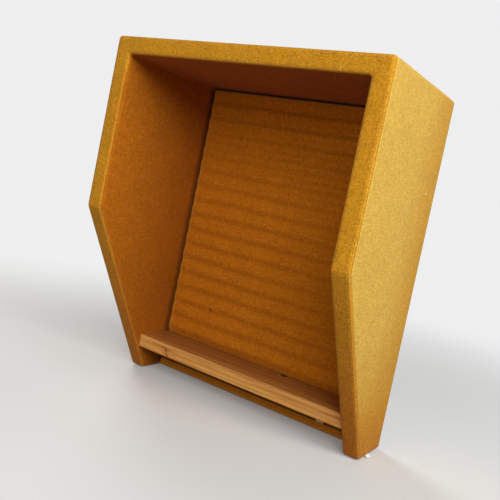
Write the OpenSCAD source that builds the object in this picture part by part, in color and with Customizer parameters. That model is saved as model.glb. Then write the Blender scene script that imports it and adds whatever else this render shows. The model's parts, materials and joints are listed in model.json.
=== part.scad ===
// Acoustic phone wall: an open, felt-covered hood that hangs on a wall over a timber shelf.
// The wall is the plane y = 0 and the open side faces -Y.
// The origin is the centre of the four wall fixing holes, on the wall plane, with +Z up.
// Each panel is a plywood core between foam plates, with a foam nose on its free edges,
// under tailored felt. The rippled insert at the back lifts out and hides the wall screws.

/* [Hood] */
// Width over the felt
hood_w = 780; // [700:10:1000]
// Height over the felt
hood_h = 940; // [880:10:1100]
// Depth from the wall to the upper front edge
hood_d = 450; // [400:10:520]
// Height of the knee in the front edge of each side
knee_z = 480; // [420:10:560]
// Depth of each side at its foot
base_d = 140; // [130:5:190]
// Radius of the knee and of the toe in the side profile
profile_r = 12; // [8:1:14]
// Radius of the corners of the front frame
frame_r = 9; // [6:1:12]

/* [Panels] */
// Thickness of the plywood cores
core_t = 18; // [15:1:24]
// Thickness of the foam plate on each face of a core
foam_t = 12; // [8:1:18]
// Thickness of the felt
felt_t = 2; // [1:0.5:3]
// Depth of the foam nose in front of the cores
nose_t = 20; // [16:1:30]
// Radius of the soft front edges
edge_r = 7; // [4:0.5:9]
// Thickness of the back board
back_t = 12; // [9:1:18]
// Width of the felt turned in over the back board
hem_w = 38; // [32:1:50]

/* [Rippled insert] */
// Distance from the wall to the crests of the ripples
insert_d = 64; // [54:1:90]
// Distance from one ripple to the next
ripple_pitch = 46.2; // [30:0.2:70]
// Depth of the ripples
ripple_depth = 5; // [2:0.5:9]
// Distance from the top of the insert to its first hollow
ripple_start = 32.5; // [14:0.5:40]
// Radius of the edges of the insert
insert_r = 6; // [4:0.5:9]
// Shadow gap at each side of the insert
insert_side_gap = 7; // [2:0.5:9]
// Shadow gap over the insert
insert_top_gap = 6; // [3:0.5:10]
// Gap between the insert and the shelf
insert_foot_gap = 3; // [2:0.5:6]
// Thickness of the board behind the ripple foam
insert_board_t = 4; // [3:0.5:6]
// Width of the felt turned in behind the insert
insert_hem_w = 25; // [15:1:30]
// Thickness of one half of a hook and loop strip
strip_t = 2; // [1.5:0.5:3]
// Width of a hook and loop strip
strip_w = 50; // [25:5:60]
// Length of a hook and loop strip
strip_l = 150; // [80:10:180]
// Distance of the strips from the middle of the hood
strip_x = 180; // [120:10:200]
// Height between two strips
strip_step = 240; // [190:10:250]

/* [Shelf] */
// Height of the shelf's upper face over the foot of the hood
shelf_z = 109; // [100:1:140]
// Thickness of the shelf
shelf_t = 38; // [30:1:45]
// How far the shelf's front edge stands behind the sloping edges at its underside
shelf_setback = 8; // [2:1:14]
// Radius of the shelf's long front edges
shelf_r = 2; // [1:0.5:4]
// Width of the cable slot in the shelf
slot_w = 22; // [16:1:30]
// Distance of the cable slot from the middle, to the right
slot_x = 95; // [60:5:160]
// How far the cable slot reaches in front of the insert
slot_show = 8; // [6:1:14]
// Diameter of the hidden shelf pins
pin_d = 10; // [8:1:14]
// Length of the hidden shelf pins
pin_l = 70; // [60:1:80]
// Distance between the hidden shelf pins
pin_step = 50; // [30:1:50]

/* [Bottom rail] */
// Height of the rail over its felt
rail_h = 20; // [16:1:30]
// Depth from the wall to the rail's face
rail_d = 58; // [56:1:80]
// Radius of the rail's front edges
rail_r = 4; // [3:0.5:6]

/* [Wall fixing] */
// Distance from the inner face of each side to the fixing holes
fixing_side = 64; // [60:1:90]
// Distance from the ceiling down to the upper fixing holes
fixing_head = 84; // [64:1:110]
// Distance from the shelf up to the lower fixing holes
fixing_foot = 81; // [60:1:100]
// Diameter of the fixing holes
fixing_d = 9; // [6:0.5:11]
// Side of the steel plates round the fixing holes
plate_w = 60; // [50:1:64]
// Thickness of the steel plates
plate_t = 2.5; // [2:0.5:3]
// Diameter of the pockets behind the insert for the screw heads
pocket_d = 30; // [24:1:36]
// Depth of those pockets in the foam
pocket_t = 15; // [10:1:20]

/* [Fasteners and trim] */
// Diameter of the carcass screws
screw_d = 5; // [4:0.5:6]
// Diameter of the carcass screws' heads
screw_head_d = 9.5; // [9:0.5:12]
// Length of the screws through the back board
back_screw_l = 50; // [40:1:52]
// Length of the screws through the side cores
corner_screw_l = 60; // [45:1:70]
// Diameter of the small screws in the steel plates
plate_screw_d = 3.5; // [3:0.5:4]
// Diameter of the heads of the small screws
plate_screw_head_d = 7; // [6:0.5:7]
// Length of the small screws
plate_screw_l = 12; // [8:1:13]
// Width of the sewn tabs
tab_w = 24; // [10:1:36]
// How far the side's tab stands out of its seam
tab_l = 9; // [5:1:14]
// How far the rail's tab stands out of its seam
rail_tab_l = 6; // [4:1:12]
// Thickness of a folded tab
tab_t = 1.2; // [0.8:0.2:2]
// Distance of the rail's tab from the middle, to the right
rail_tab_x = 230; // [120:5:260]
// Distance of the side's tab from the wall
side_tab_y = 86; // [40:1:95]

/* [Fits] */
// Clearance between the shelf or the rail and the felt at each end
end_gap = 0.3; // [0.2:0.1:1]
// Clearance round screws and pins
fit_gap = 0.1; // [0.05:0.05:0.2]

/* [Hidden] */

$fn = 32;
felt_colour = "#c68d24";
inner_felt_colour = "#a86c14";
foam_colour = "#4a4a4d";
ply_colour = "#d8b98c";
steel_colour = "#b9bcc0";

// Panels, from the outside in
panel_t = core_t + 2 * foam_t + 2 * felt_t;
half_w = hood_w / 2;
inner_x = half_w - panel_t;
ceiling_z = hood_h - panel_t;
outer_foam_x = half_w - felt_t;
outer_core_x = outer_foam_x - foam_t;
inner_core_x = outer_core_x - core_t;
inner_foam_x = inner_core_x - foam_t;
core_inset = felt_t + nose_t;
band_leg = edge_r + 2;
board_y = -(felt_t + back_t);
core_front_y = core_inset - hood_d;
sheet_front_y = band_leg - hood_d;
slope = atan2(hood_d - base_d, knee_z);
least_r = 4;
arc_steps = 4;

// Fixing holes, about their centre
fixing_w = 2 * (inner_x - fixing_side);
fixing_low_z = shelf_z + fixing_foot;
fixing_h = ceiling_z - fixing_head - fixing_low_z;
fixing_z = fixing_low_z + fixing_h / 2;

// Insert, from the back board forwards
insert_back = felt_t + back_t + 2 * strip_t;
insert_x = inner_x - insert_side_gap;
insert_top = ceiling_z - insert_top_gap;
insert_foot = shelf_z + insert_foot_gap;
insert_mid_z = (insert_top + insert_foot) / 2;
hollow_z = insert_top - ripple_start;
ripple_steps = 6;

// Shelf and its pins
shelf_mid_z = shelf_z - shelf_t / 2;
shelf_d = base_d + (shelf_z - shelf_t) * (hood_d - base_d) / knee_z - shelf_setback;
slot_front = insert_d + slot_show;
pin_y = -100;
pin_depth = 14;
pin_x = inner_core_x + pin_depth;

// Rows of screws through the back board
side_screw_x = (outer_core_x + inner_core_x) / 2;
top_screw_z = hood_h - panel_t / 2;
side_screw_rows = 6;
side_screw_low = 60;
side_screw_high = top_screw_z - 40;
cross_screw_x = inner_x - 70;

// Corner screws and plate screws, from the nearest edge
corner_screw_inset = 60;
plate_screw_inset = 9;

// Corner radius of the side profile at a depth under the felt's surface
function inset_r(depth) = max(profile_r - depth, least_r);

// Points round one corner of the side profile, between edges whose inward normals point
// at the angles a0 and a1
function corner(v, a0, a1, depth) =
    let (
        r = inset_r(depth),
        mid = (a0 + a1) / 2,
        reach = (depth + r) / cos((a0 - a1) / 2),
        c = v + reach * [cos(mid), sin(mid)]
    )
    [for (i = [0 : arc_steps]) let (a = a0 + (a1 - a0) * i / arc_steps) c - r * [cos(a), sin(a)]];

// Free edge of a side, from its toe to its knee, at a depth under the felt's surface
function free_edge(depth) = concat(
    corner([-base_d, 0], 90, slope, depth),
    corner([-hood_d, knee_z], slope, 0, depth)
);

// Side outline at a depth, from the plane y = back up to the height top
function side_outline(depth, back, top) = concat(
    [[back, depth]],
    free_edge(depth),
    [[depth - hood_d, top], [back, top]]
);

// Quarter arc round a centre
function arc(c, r, a0, a1, steps = arc_steps) =
    [for (i = [0 : steps]) let (a = a0 + (a1 - a0) * i / steps) c + r * [cos(a), sin(a)]];

// Outline, in x and z, whose two upper corners are round
function round_top(half, foot, top, r) = concat(
    [[-half, foot], [half, foot]],
    arc([half - r, top - r], r, 0, 90),
    arc([r - half, top - r], r, 90, 180)
);

// Outline, in x and z, of the left side's lower end from behind, set in by cut
function heel(cut, x1, top) = concat(
    [[x1, cut]],
    arc([edge_r - half_w, edge_r], edge_r - cut, 270, 180),
    [[cut - half_w, top], [x1, top]]
);

// One ring of a piece that runs round the front of the hood. Each profile point is
// [distance in from the outer edge, depth under the felt's surface].
function leg_ring(profile, k) =
    [for (p = profile) let (e = k < 0 ? [board_y, p[1]] : free_edge(p[1])[k]) [p[0] - half_w, e[0], e[1]]];
function frame_ring(profile, a) = [for (p = profile) [
    p[0] + frame_r * (1 - cos(a)) - half_w,
    p[1] - hood_d,
    hood_h - p[0] - frame_r * (1 - sin(a))
]];
function mirrored(rings) = [for (i = [len(rings) - 1 : -1 : 0]) [for (p = rings[i]) [-p[0], p[1], p[2]]]];
function leg_rings(profile) = [for (k = [-1 : 2 * arc_steps + 1]) leg_ring(profile, k)];
function frame_rings(profile, a0, a1) =
    [for (i = [0 : 2]) frame_ring(profile, a0 + (a1 - a0) * i / 2)];

// Profile of the felt band, out along its face and back along its inside
function band_profile() = concat(
    [[0, band_leg]],
    arc([edge_r, edge_r], edge_r, 180, 270),
    arc([panel_t - edge_r, edge_r], edge_r, 270, 360),
    [[panel_t, band_leg], [panel_t - felt_t, band_leg]],
    arc([panel_t - edge_r, edge_r], edge_r - felt_t, 360, 270),
    arc([edge_r, edge_r], edge_r - felt_t, 270, 180),
    [[felt_t, band_leg]]
);

// Profile of the foam nose under the band
function nose_profile() = concat(
    [[felt_t, core_inset]],
    arc([edge_r, edge_r], edge_r - felt_t, 180, 270),
    arc([panel_t - edge_r, edge_r], edge_r - felt_t, 270, 360),
    [[panel_t - felt_t, core_inset]]
);

// Solid through a row of rings. A ring's point i lies across from its point m - 1 - i.
module swept(rings) {
    n = len(rings);
    m = len(rings[0]);
    walls = [for (i = [0 : n - 2], j = [0 : m - 1], half = [0, 1])
        let (a = i * m + j, b = i * m + (j + 1) % m) half == 0 ? [a, b + m, b] : [a, a + m, b + m]];
    first = [for (j = [0 : m / 2 - 2], half = [0, 1])
        half == 0 ? [j, j + 1, m - 1 - j] : [j + 1, m - 2 - j, m - 1 - j]];
    last = [for (f = first) [for (k = [2 : -1 : 0]) f[k] + (n - 1) * m]];
    polyhedron(points = [for (ring = rings, p = ring) p], faces = concat(walls, first, last));
}

module on_wall() translate([0, 0, -fixing_z]) children();

module along_x(x0, x1)
    translate([x0, 0, 0]) rotate([90, 0, 90]) linear_extrude(height = x1 - x0) children();

module along_y(back, front)
    translate([0, back, 0]) rotate([90, 0, 0]) linear_extrude(height = back - front) children();

// Block from a low corner to a high corner
module block(low, high) translate(low) cube(high - low);

// Countersunk screw that points along +Z, its head flush with z = 0
module screw(l, d, head_d, gap = 0) {
    head_h = (head_d - d) / 2;
    tip = d;
    cylinder(h = head_h, r1 = head_d / 2 + gap, r2 = d / 2 + gap);
    translate([0, 0, head_h - 0.01]) cylinder(h = l - tip - head_h + 0.01, r = d / 2 + gap);
    translate([0, 0, l - tip]) cylinder(h = tip + gap, r1 = d / 2 + gap, r2 = 0.3 + gap);
}

// Screws through the back board into the sides, the top, the rail and the shelf
module back_screw_set(gap = 0) {
    places = concat(
        [for (s = [-1, 1], i = [0 : side_screw_rows - 1])
            [s * side_screw_x, side_screw_low + (side_screw_high - side_screw_low) * i / (side_screw_rows - 1)]],
        [for (i = [-1.5 : 1.5]) [i * cross_screw_x / 1.5, top_screw_z]],
        [for (i = [-1, 0, 1]) [i * cross_screw_x, rail_h / 2]],
        [for (i = [-1, 0, 1]) [i * cross_screw_x, shelf_mid_z]]
    );
    for (p = places) {
        translate([p[0], -felt_t, p[1]]) rotate([90, 0, 0]) screw(back_screw_l, screw_d, screw_head_d, gap);
    }
}

// Screws through the side cores into the ends of the top core
module corner_screw_set(gap = 0) {
    first = board_y - corner_screw_inset;
    last = core_front_y + corner_screw_inset;
    for (s = [-1, 1], i = [0 : 3]) {
        y = first + (last - first) * i / 3;
        translate([s * outer_core_x, y, top_screw_z]) rotate([0, -90 * s, 0])
            screw(corner_screw_l, screw_d, screw_head_d, gap);
    }
}

module pin_set(gap = 0) {
    for (s = [-1, 1], i = [-1, 0, 1]) {
        translate([s * (pin_x + gap), pin_y + i * pin_step, shelf_mid_z])
            rotate([0, -90 * s, 0]) cylinder(h = pin_l + 2 * gap, r = pin_d / 2 + gap);
    }
}

// Puts its children at each of the four wall fixings, with +Z turned to -Y
module at_fixings(y) {
    for (x = [-1, 1], z = [-1, 1]) {
        translate([x * fixing_w / 2, y, fixing_z + z * fixing_h / 2]) rotate([90, 0, 0]) children();
    }
}

module fixing_holes() at_fixings(1) cylinder(h = insert_back + 2, r = fixing_d / 2);

module fixing_pockets() at_fixings(-insert_back + 1) cylinder(h = pocket_t + insert_board_t + 1, r = pocket_d / 2);

module plate_screw_set(gap = 0) {
    place = plate_w / 2 - plate_screw_inset;
    at_fixings(0) {
        for (x = [-1, 1], y = [-1, 1]) {
            translate([x * place, y * place, -board_y + plate_t]) mirror([0, 0, 1])
                screw(plate_screw_l, plate_screw_d, plate_screw_head_d, gap);
        }
    }
}

// Cores and boards
module side_core() {
    color(ply_colour) difference() {
        along_x(-outer_core_x, -inner_core_x)
            polygon(side_outline(core_inset, board_y, hood_h - felt_t - foam_t));
        back_screw_set(fit_gap);
        corner_screw_set(fit_gap);
        pin_set(fit_gap);
    }
}

module left_side_core() on_wall() side_core();

module right_side_core() on_wall() mirror([1, 0, 0]) side_core();

module top_core() on_wall() color(ply_colour) difference() {
    block(
        [-inner_core_x, core_front_y, ceiling_z + felt_t + foam_t],
        [inner_core_x, board_y, hood_h - felt_t - foam_t]
    );
    back_screw_set(fit_gap);
    corner_screw_set(fit_gap);
}

module back_board() on_wall() color(ply_colour) difference() {
    along_y(-felt_t, board_y) polygon(concat(
        arc([edge_r - half_w, edge_r], edge_r - felt_t, 180, 270),
        arc([half_w - edge_r, edge_r], edge_r - felt_t, 270, 360),
        arc([half_w - frame_r, hood_h - frame_r], frame_r - felt_t, 0, 90),
        arc([frame_r - half_w, hood_h - frame_r], frame_r - felt_t, 90, 180)
    ));
    back_screw_set(fit_gap);
    plate_screw_set(fit_gap);
    fixing_holes();
}

module rail_core() on_wall() color(ply_colour) difference() {
    block(
        [end_gap - inner_x, felt_t - rail_d, felt_t],
        [inner_x - end_gap, board_y, rail_h - felt_t]
    );
    back_screw_set(fit_gap);
}

// Foam
module side_nose()
    color(foam_colour) swept(concat(leg_rings(nose_profile()), frame_rings(nose_profile(), 0, 45)));

module left_nose_foam() on_wall() side_nose();

module right_nose_foam() on_wall() mirror([1, 0, 0]) side_nose();

module top_nose_foam() {
    left = frame_rings(nose_profile(), 45, 90);
    on_wall() color(foam_colour) swept(concat(left, mirrored(left)));
}

module outer_foam() {
    color(foam_colour) along_x(-outer_foam_x, -outer_core_x)
        polygon(side_outline(core_inset, board_y, hood_h - felt_t - foam_t));
}

module left_outer_foam() on_wall() outer_foam();

module right_outer_foam() on_wall() mirror([1, 0, 0]) outer_foam();

module inner_foam() {
    color(foam_colour) difference() {
        along_x(-inner_core_x, -inner_foam_x)
            polygon(side_outline(core_inset, board_y, ceiling_z + felt_t + foam_t));
        pin_set(fit_gap);
    }
}

module left_inner_foam() on_wall() inner_foam();

module right_inner_foam() on_wall() mirror([1, 0, 0]) inner_foam();

module top_outer_foam() on_wall() color(foam_colour) along_y(board_y, core_front_y)
    polygon(round_top(outer_foam_x, hood_h - felt_t - foam_t, hood_h - felt_t, frame_r - felt_t));

module top_inner_foam() on_wall() color(foam_colour) block(
    [-inner_foam_x, core_front_y, ceiling_z + felt_t],
    [inner_foam_x, board_y, ceiling_z + felt_t + foam_t]
);

// Felt
module front_band_cover() {
    left = concat(
        leg_rings(band_profile()),
        frame_rings(band_profile(), 0, 45),
        [for (a = [67.5, 90]) frame_ring(band_profile(), a)]
    );
    on_wall() color(felt_colour) swept(concat(left, mirrored(left)));
}

module outer_cover() {
    top = hood_h - frame_r;
    color(felt_colour) {
        along_x(-half_w, -outer_foam_x)
            polygon(concat([[board_y, band_leg]], free_edge(band_leg), [[sheet_front_y, top], [board_y, top]]));
        along_y(0, board_y) difference() {
            polygon(heel(0, -inner_x, top));
            polygon(heel(felt_t, 1 - inner_x, top + 1));
        }
        along_y(0, -felt_t) polygon(heel(0, hem_w - half_w, hood_h - hem_w));
    }
}

module left_outer_cover() on_wall() outer_cover();

module right_outer_cover() on_wall() mirror([1, 0, 0]) outer_cover();

module inner_cover() {
    color(inner_felt_colour) difference() {
        along_x(-inner_foam_x, -inner_x)
            polygon(side_outline(band_leg, board_y, ceiling_z - frame_r));
        pin_set(fit_gap);
    }
}

module left_inner_cover() on_wall() inner_cover();

module right_inner_cover() on_wall() mirror([1, 0, 0]) inner_cover();

module top_outer_cover() on_wall() color(felt_colour) {
    along_y(0, sheet_front_y) difference() {
        polygon(round_top(half_w, hood_h - frame_r, hood_h, frame_r));
        polygon(round_top(outer_foam_x, hood_h - frame_r - 1, hood_h - felt_t, frame_r - felt_t));
    }
    along_y(0, -felt_t) {
        polygon(round_top(half_w, hood_h - frame_r, hood_h, frame_r));
        translate([-outer_foam_x, hood_h - hem_w]) square([2 * outer_foam_x, hem_w - frame_r]);
    }
}

module top_inner_cover() on_wall() color(inner_felt_colour) along_y(board_y, sheet_front_y) difference() {
    polygon(round_top(inner_foam_x, ceiling_z - frame_r, ceiling_z + felt_t, frame_r + felt_t));
    polygon(round_top(inner_x, ceiling_z - frame_r - 1, ceiling_z, frame_r));
}

// Outline, in y and z, of the rail over its felt
function rail_outline() = concat(
    [[board_y, rail_h]],
    arc([rail_r - rail_d, rail_h - rail_r], rail_r, 90, 180),
    arc([rail_r - rail_d, rail_r], rail_r, 180, 270),
    [[board_y, 0]]
);

module rail_cover() on_wall() color(inner_felt_colour) difference() {
    along_x(end_gap - inner_x, inner_x - end_gap) polygon(rail_outline());
    block([-inner_x, felt_t - rail_d, felt_t], [inner_x, board_y + 1, rail_h - felt_t]);
}

module back_lining() on_wall() color("#3b3b3d") difference() {
    block([hem_w - half_w, -felt_t, felt_t], [half_w - hem_w, 0, hood_h - hem_w]);
    fixing_holes();
}

// Depth of the insert's face under the height z, set back by cut for its felt
function insert_face(z, cut) =
    let (
        r = insert_r - cut,
        e = min(z - insert_foot, insert_top - z) - cut,
        drop = e < r ? r - sqrt(max(r * r - (r - e) * (r - e), 0)) : 0
    )
    insert_d - cut - drop - ripple_depth * (1 + cos(360 * (z - hollow_z) / ripple_pitch)) / 2;

// Heights at which the insert's face has a point
function insert_heights(cut) =
    let (
        r = insert_r - cut,
        low = insert_foot + cut,
        high = insert_top - cut,
        run = high - low - 2 * r,
        n = ceil(run / ripple_pitch * ripple_steps)
    )
    concat(
        [for (a = [0, 35, 65]) low + r * (1 - cos(a))],
        [for (i = [0 : n]) low + r + run * i / n],
        [for (a = [65, 35, 0]) high - r * (1 - cos(a))]
    );

// Whole insert, set back by cut at its face and edges
module insert_form(cut) {
    half = insert_x - cut;
    r = insert_r - cut;
    back = -insert_back + felt_t - cut;
    low = insert_foot + cut;
    intersection() {
        along_x(-half, half) polygon(concat(
            [[back, low]],
            [for (z = insert_heights(cut)) [-insert_face(z, cut), z]],
            [[back, insert_top - cut]]
        ));
        translate([0, 0, low]) linear_extrude(height = insert_top - insert_foot - 2 * cut) polygon(concat(
            [[half, back]],
            [[-half, back]],
            arc([r - half, r + cut - insert_d], r, 180, 270),
            arc([half - r, r + cut - insert_d], r, 270, 360)
        ));
    }
}

module insert_cover() {
    hem_x = insert_x - insert_hem_w;
    on_wall() color(inner_felt_colour) difference() {
        insert_form(0);
        insert_form(felt_t);
        block(
            [-hem_x, -insert_back - 1, insert_foot + insert_hem_w],
            [hem_x, 0, insert_top - insert_hem_w]
        );
    }
}

module insert_foam() on_wall() color(foam_colour) difference() {
    insert_form(felt_t);
    block(
        [-insert_x, -insert_back - insert_board_t, insert_foot],
        [insert_x, 0, insert_top]
    );
    fixing_pockets();
}

module insert_board() on_wall() color("#8a6a48") difference() {
    block(
        [felt_t - insert_x, -insert_back - insert_board_t, insert_foot + felt_t],
        [insert_x - felt_t, -insert_back, insert_top - felt_t]
    );
    fixing_pockets();
}

module strip_set(y) {
    for (s = [-1, 1], i = [-1, 0, 1]) {
        translate([s * strip_x - strip_w / 2, y, insert_mid_z + i * strip_step - strip_l / 2])
            cube([strip_w, strip_t, strip_l]);
    }
}

module hook_strips() on_wall() color("#2b2b2d") strip_set(board_y - strip_t);

module loop_strips() on_wall() color("#3a3a3d") strip_set(board_y - 2 * strip_t);

// Outline, in y and z, of the shelf
function shelf_outline() =
    let (front = shelf_r - shelf_d, low = shelf_z - shelf_t)
    concat(
        [[board_y, shelf_z]],
        arc([front, shelf_z - shelf_r], shelf_r, 90, 180, 3),
        arc([front, low + shelf_r], shelf_r, 180, 270, 3),
        [[board_y, low]]
    );

module shelf_board() on_wall() color("#c48a50") difference() {
    along_x(end_gap - inner_x, inner_x - end_gap) polygon(shelf_outline());
    translate([slot_x, slot_w / 2 - slot_front, shelf_z - shelf_t - 1]) {
        cylinder(h = shelf_t + 2, r = slot_w / 2);
        translate([-slot_w / 2, 0, 0]) cube([slot_w, slot_front, shelf_t + 2]);
    }
    pin_set(fit_gap);
    back_screw_set(fit_gap);
}

module shelf_pins() on_wall() color(steel_colour) pin_set();

module back_screws() on_wall() color(steel_colour) back_screw_set();

module corner_screws() on_wall() color(steel_colour) corner_screw_set();

module wall_plates() on_wall() color(steel_colour) difference() {
    at_fixings(board_y) translate([-plate_w / 2, -plate_w / 2, 0]) cube([plate_w, plate_w, plate_t]);
    fixing_holes();
    plate_screw_set(fit_gap);
}

module wall_plate_screws() on_wall() color(steel_colour) plate_screw_set();

module sewn_tabs() on_wall() color("#e8e2d8") {
    seam_z = edge_r - sqrt(edge_r * edge_r - (edge_r - felt_t) * (edge_r - felt_t));
    block(
        [half_w - felt_t, -side_tab_y - tab_w / 2, seam_z - tab_t],
        [half_w - felt_t + tab_l, -side_tab_y + tab_w / 2, seam_z]
    );
    block(
        [rail_tab_x - tab_w / 2, rail_r - rail_d, rail_h],
        [rail_tab_x + tab_w / 2, rail_r - rail_d + tab_t, rail_h + rail_tab_l]
    );
}

left_side_core();
right_side_core();
top_core();
back_board();
rail_core();
left_nose_foam();
right_nose_foam();
top_nose_foam();
left_outer_foam();
right_outer_foam();
left_inner_foam();
right_inner_foam();
top_outer_foam();
top_inner_foam();
front_band_cover();
left_outer_cover();
right_outer_cover();
left_inner_cover();
right_inner_cover();
top_outer_cover();
top_inner_cover();
rail_cover();
back_lining();
insert_board();
insert_foam();
insert_cover();
hook_strips();
loop_strips();
shelf_board();
shelf_pins();
back_screws();
corner_screws();
wall_plates();
wall_plate_screws();
sewn_tabs();
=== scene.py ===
"""Dresses the acoustic phone wall round its CAD frame.

Felt over padded panels, a rippled insert, a timber shelf, a felt rail, and the lining, hems and
staples of the back. Lengths are in metres in the row frame: +X to the right seen from the open
front, +Y into the wall, +Z up, from the centre of the four wall fixing holes.
"""

import json
import logging
import math
from dataclasses import dataclass, field
from enum import Enum
from typing import Callable, Sequence

import bpy
import numpy as np
from mathutils import Matrix, Vector


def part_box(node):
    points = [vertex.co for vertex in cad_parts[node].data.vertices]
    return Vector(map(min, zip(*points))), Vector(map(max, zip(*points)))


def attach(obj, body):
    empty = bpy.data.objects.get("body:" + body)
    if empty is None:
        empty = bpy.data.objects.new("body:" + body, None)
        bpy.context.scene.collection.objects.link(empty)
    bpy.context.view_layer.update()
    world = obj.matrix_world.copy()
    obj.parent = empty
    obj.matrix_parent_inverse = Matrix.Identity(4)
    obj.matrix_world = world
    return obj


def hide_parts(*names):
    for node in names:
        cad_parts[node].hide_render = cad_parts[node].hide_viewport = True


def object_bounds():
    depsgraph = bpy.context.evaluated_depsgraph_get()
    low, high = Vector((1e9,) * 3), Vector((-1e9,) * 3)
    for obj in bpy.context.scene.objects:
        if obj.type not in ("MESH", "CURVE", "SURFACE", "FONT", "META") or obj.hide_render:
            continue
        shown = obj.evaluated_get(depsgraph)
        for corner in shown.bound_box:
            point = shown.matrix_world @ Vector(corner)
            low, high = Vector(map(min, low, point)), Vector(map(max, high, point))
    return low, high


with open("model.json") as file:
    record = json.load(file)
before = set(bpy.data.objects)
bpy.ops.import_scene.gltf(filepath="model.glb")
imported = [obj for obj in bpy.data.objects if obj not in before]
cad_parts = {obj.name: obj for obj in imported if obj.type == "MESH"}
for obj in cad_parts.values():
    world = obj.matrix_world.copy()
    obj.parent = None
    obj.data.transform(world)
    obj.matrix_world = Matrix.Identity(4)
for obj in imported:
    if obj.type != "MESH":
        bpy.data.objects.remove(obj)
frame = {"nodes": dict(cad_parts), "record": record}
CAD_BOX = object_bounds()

LOG = logging.getLogger("phone_wall")
BODY = "root"

Array = np.ndarray
Colour = tuple[float, float, float]
Socket = bpy.types.NodeSocket
Inputs = Sequence[object] | dict[str | int, object]


class Slot(Enum):
    """Material slots of the record."""

    OUTER_FELT = "outer_felt"
    INNER_FELT = "inner_felt"
    FOAM = "foam"
    PLYWOOD = "plywood"
    HARDBOARD = "hardboard"
    SHELF_WOOD = "shelf_wood"
    STEEL = "steel"
    LINING = "lining"
    STRIP = "strip"
    TAB = "tab"


class Axis(Enum):
    """Directions of the row frame."""

    X = 0
    Y = 1
    Z = 2


def srgb(red: int, green: int, blue: int) -> Colour:
    """Linear colour of an sRGB colour given from 0 to 255."""
    parts = [value / 255 for value in (red, green, blue)]
    return tuple(p / 12.92 if p <= 0.04045 else ((p + 0.055) / 1.055) ** 2.4 for p in parts)


FELT_THICKNESS = 0.0018
# Colour multiplied in where the felt is deeper in tone, and where painted shade darkens it.
DEEP_TONE_AND_SHADE = srgb(238, 196, 168)
# Half lengths of the shelf's knot along the axes, and y and z of the line that its rings turn about.
KNOT_REACH = (0.020, 0.020, 0.013)
PITH_LINE = (-0.02, -0.72)
# Radians per metre through the plywood, so that two veneers of 1.5 mm make one wave.
VENEER_WAVE = 2094.0


class Signal:
    """What a node puts out, so that a pattern's formula is written with plain signs."""

    def __init__(self, sheet: "NodeSheet", socket: Socket) -> None:
        """Takes the sheet that the node is on and the node's output."""
        self.sheet = sheet
        self.socket = socket

    def __add__(self, other: object) -> "Signal":
        """The sum."""
        return self.sheet.math("ADD", self, other)

    def __sub__(self, other: object) -> "Signal":
        """The difference."""
        return self.sheet.math("SUBTRACT", self, other)

    def __rsub__(self, other: object) -> "Signal":
        """The difference from what stands on the left."""
        return self.sheet.math("SUBTRACT", other, self)

    def __mul__(self, other: object) -> "Signal":
        """The product."""
        return self.sheet.math("MULTIPLY", self, other)

    def __truediv__(self, other: object) -> "Signal":
        """The quotient."""
        return self.sheet.math("DIVIDE", self, other)

    def __pow__(self, other: object) -> "Signal":
        """The power."""
        return self.sheet.math("POWER", self, other)

    def __neg__(self) -> "Signal":
        """The same with its sign changed."""
        return self * -1.0

    def __abs__(self) -> "Signal":
        """The size without its sign."""
        return self.sheet.math("ABSOLUTE", self)

    __radd__ = __add__
    __rmul__ = __mul__


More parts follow.
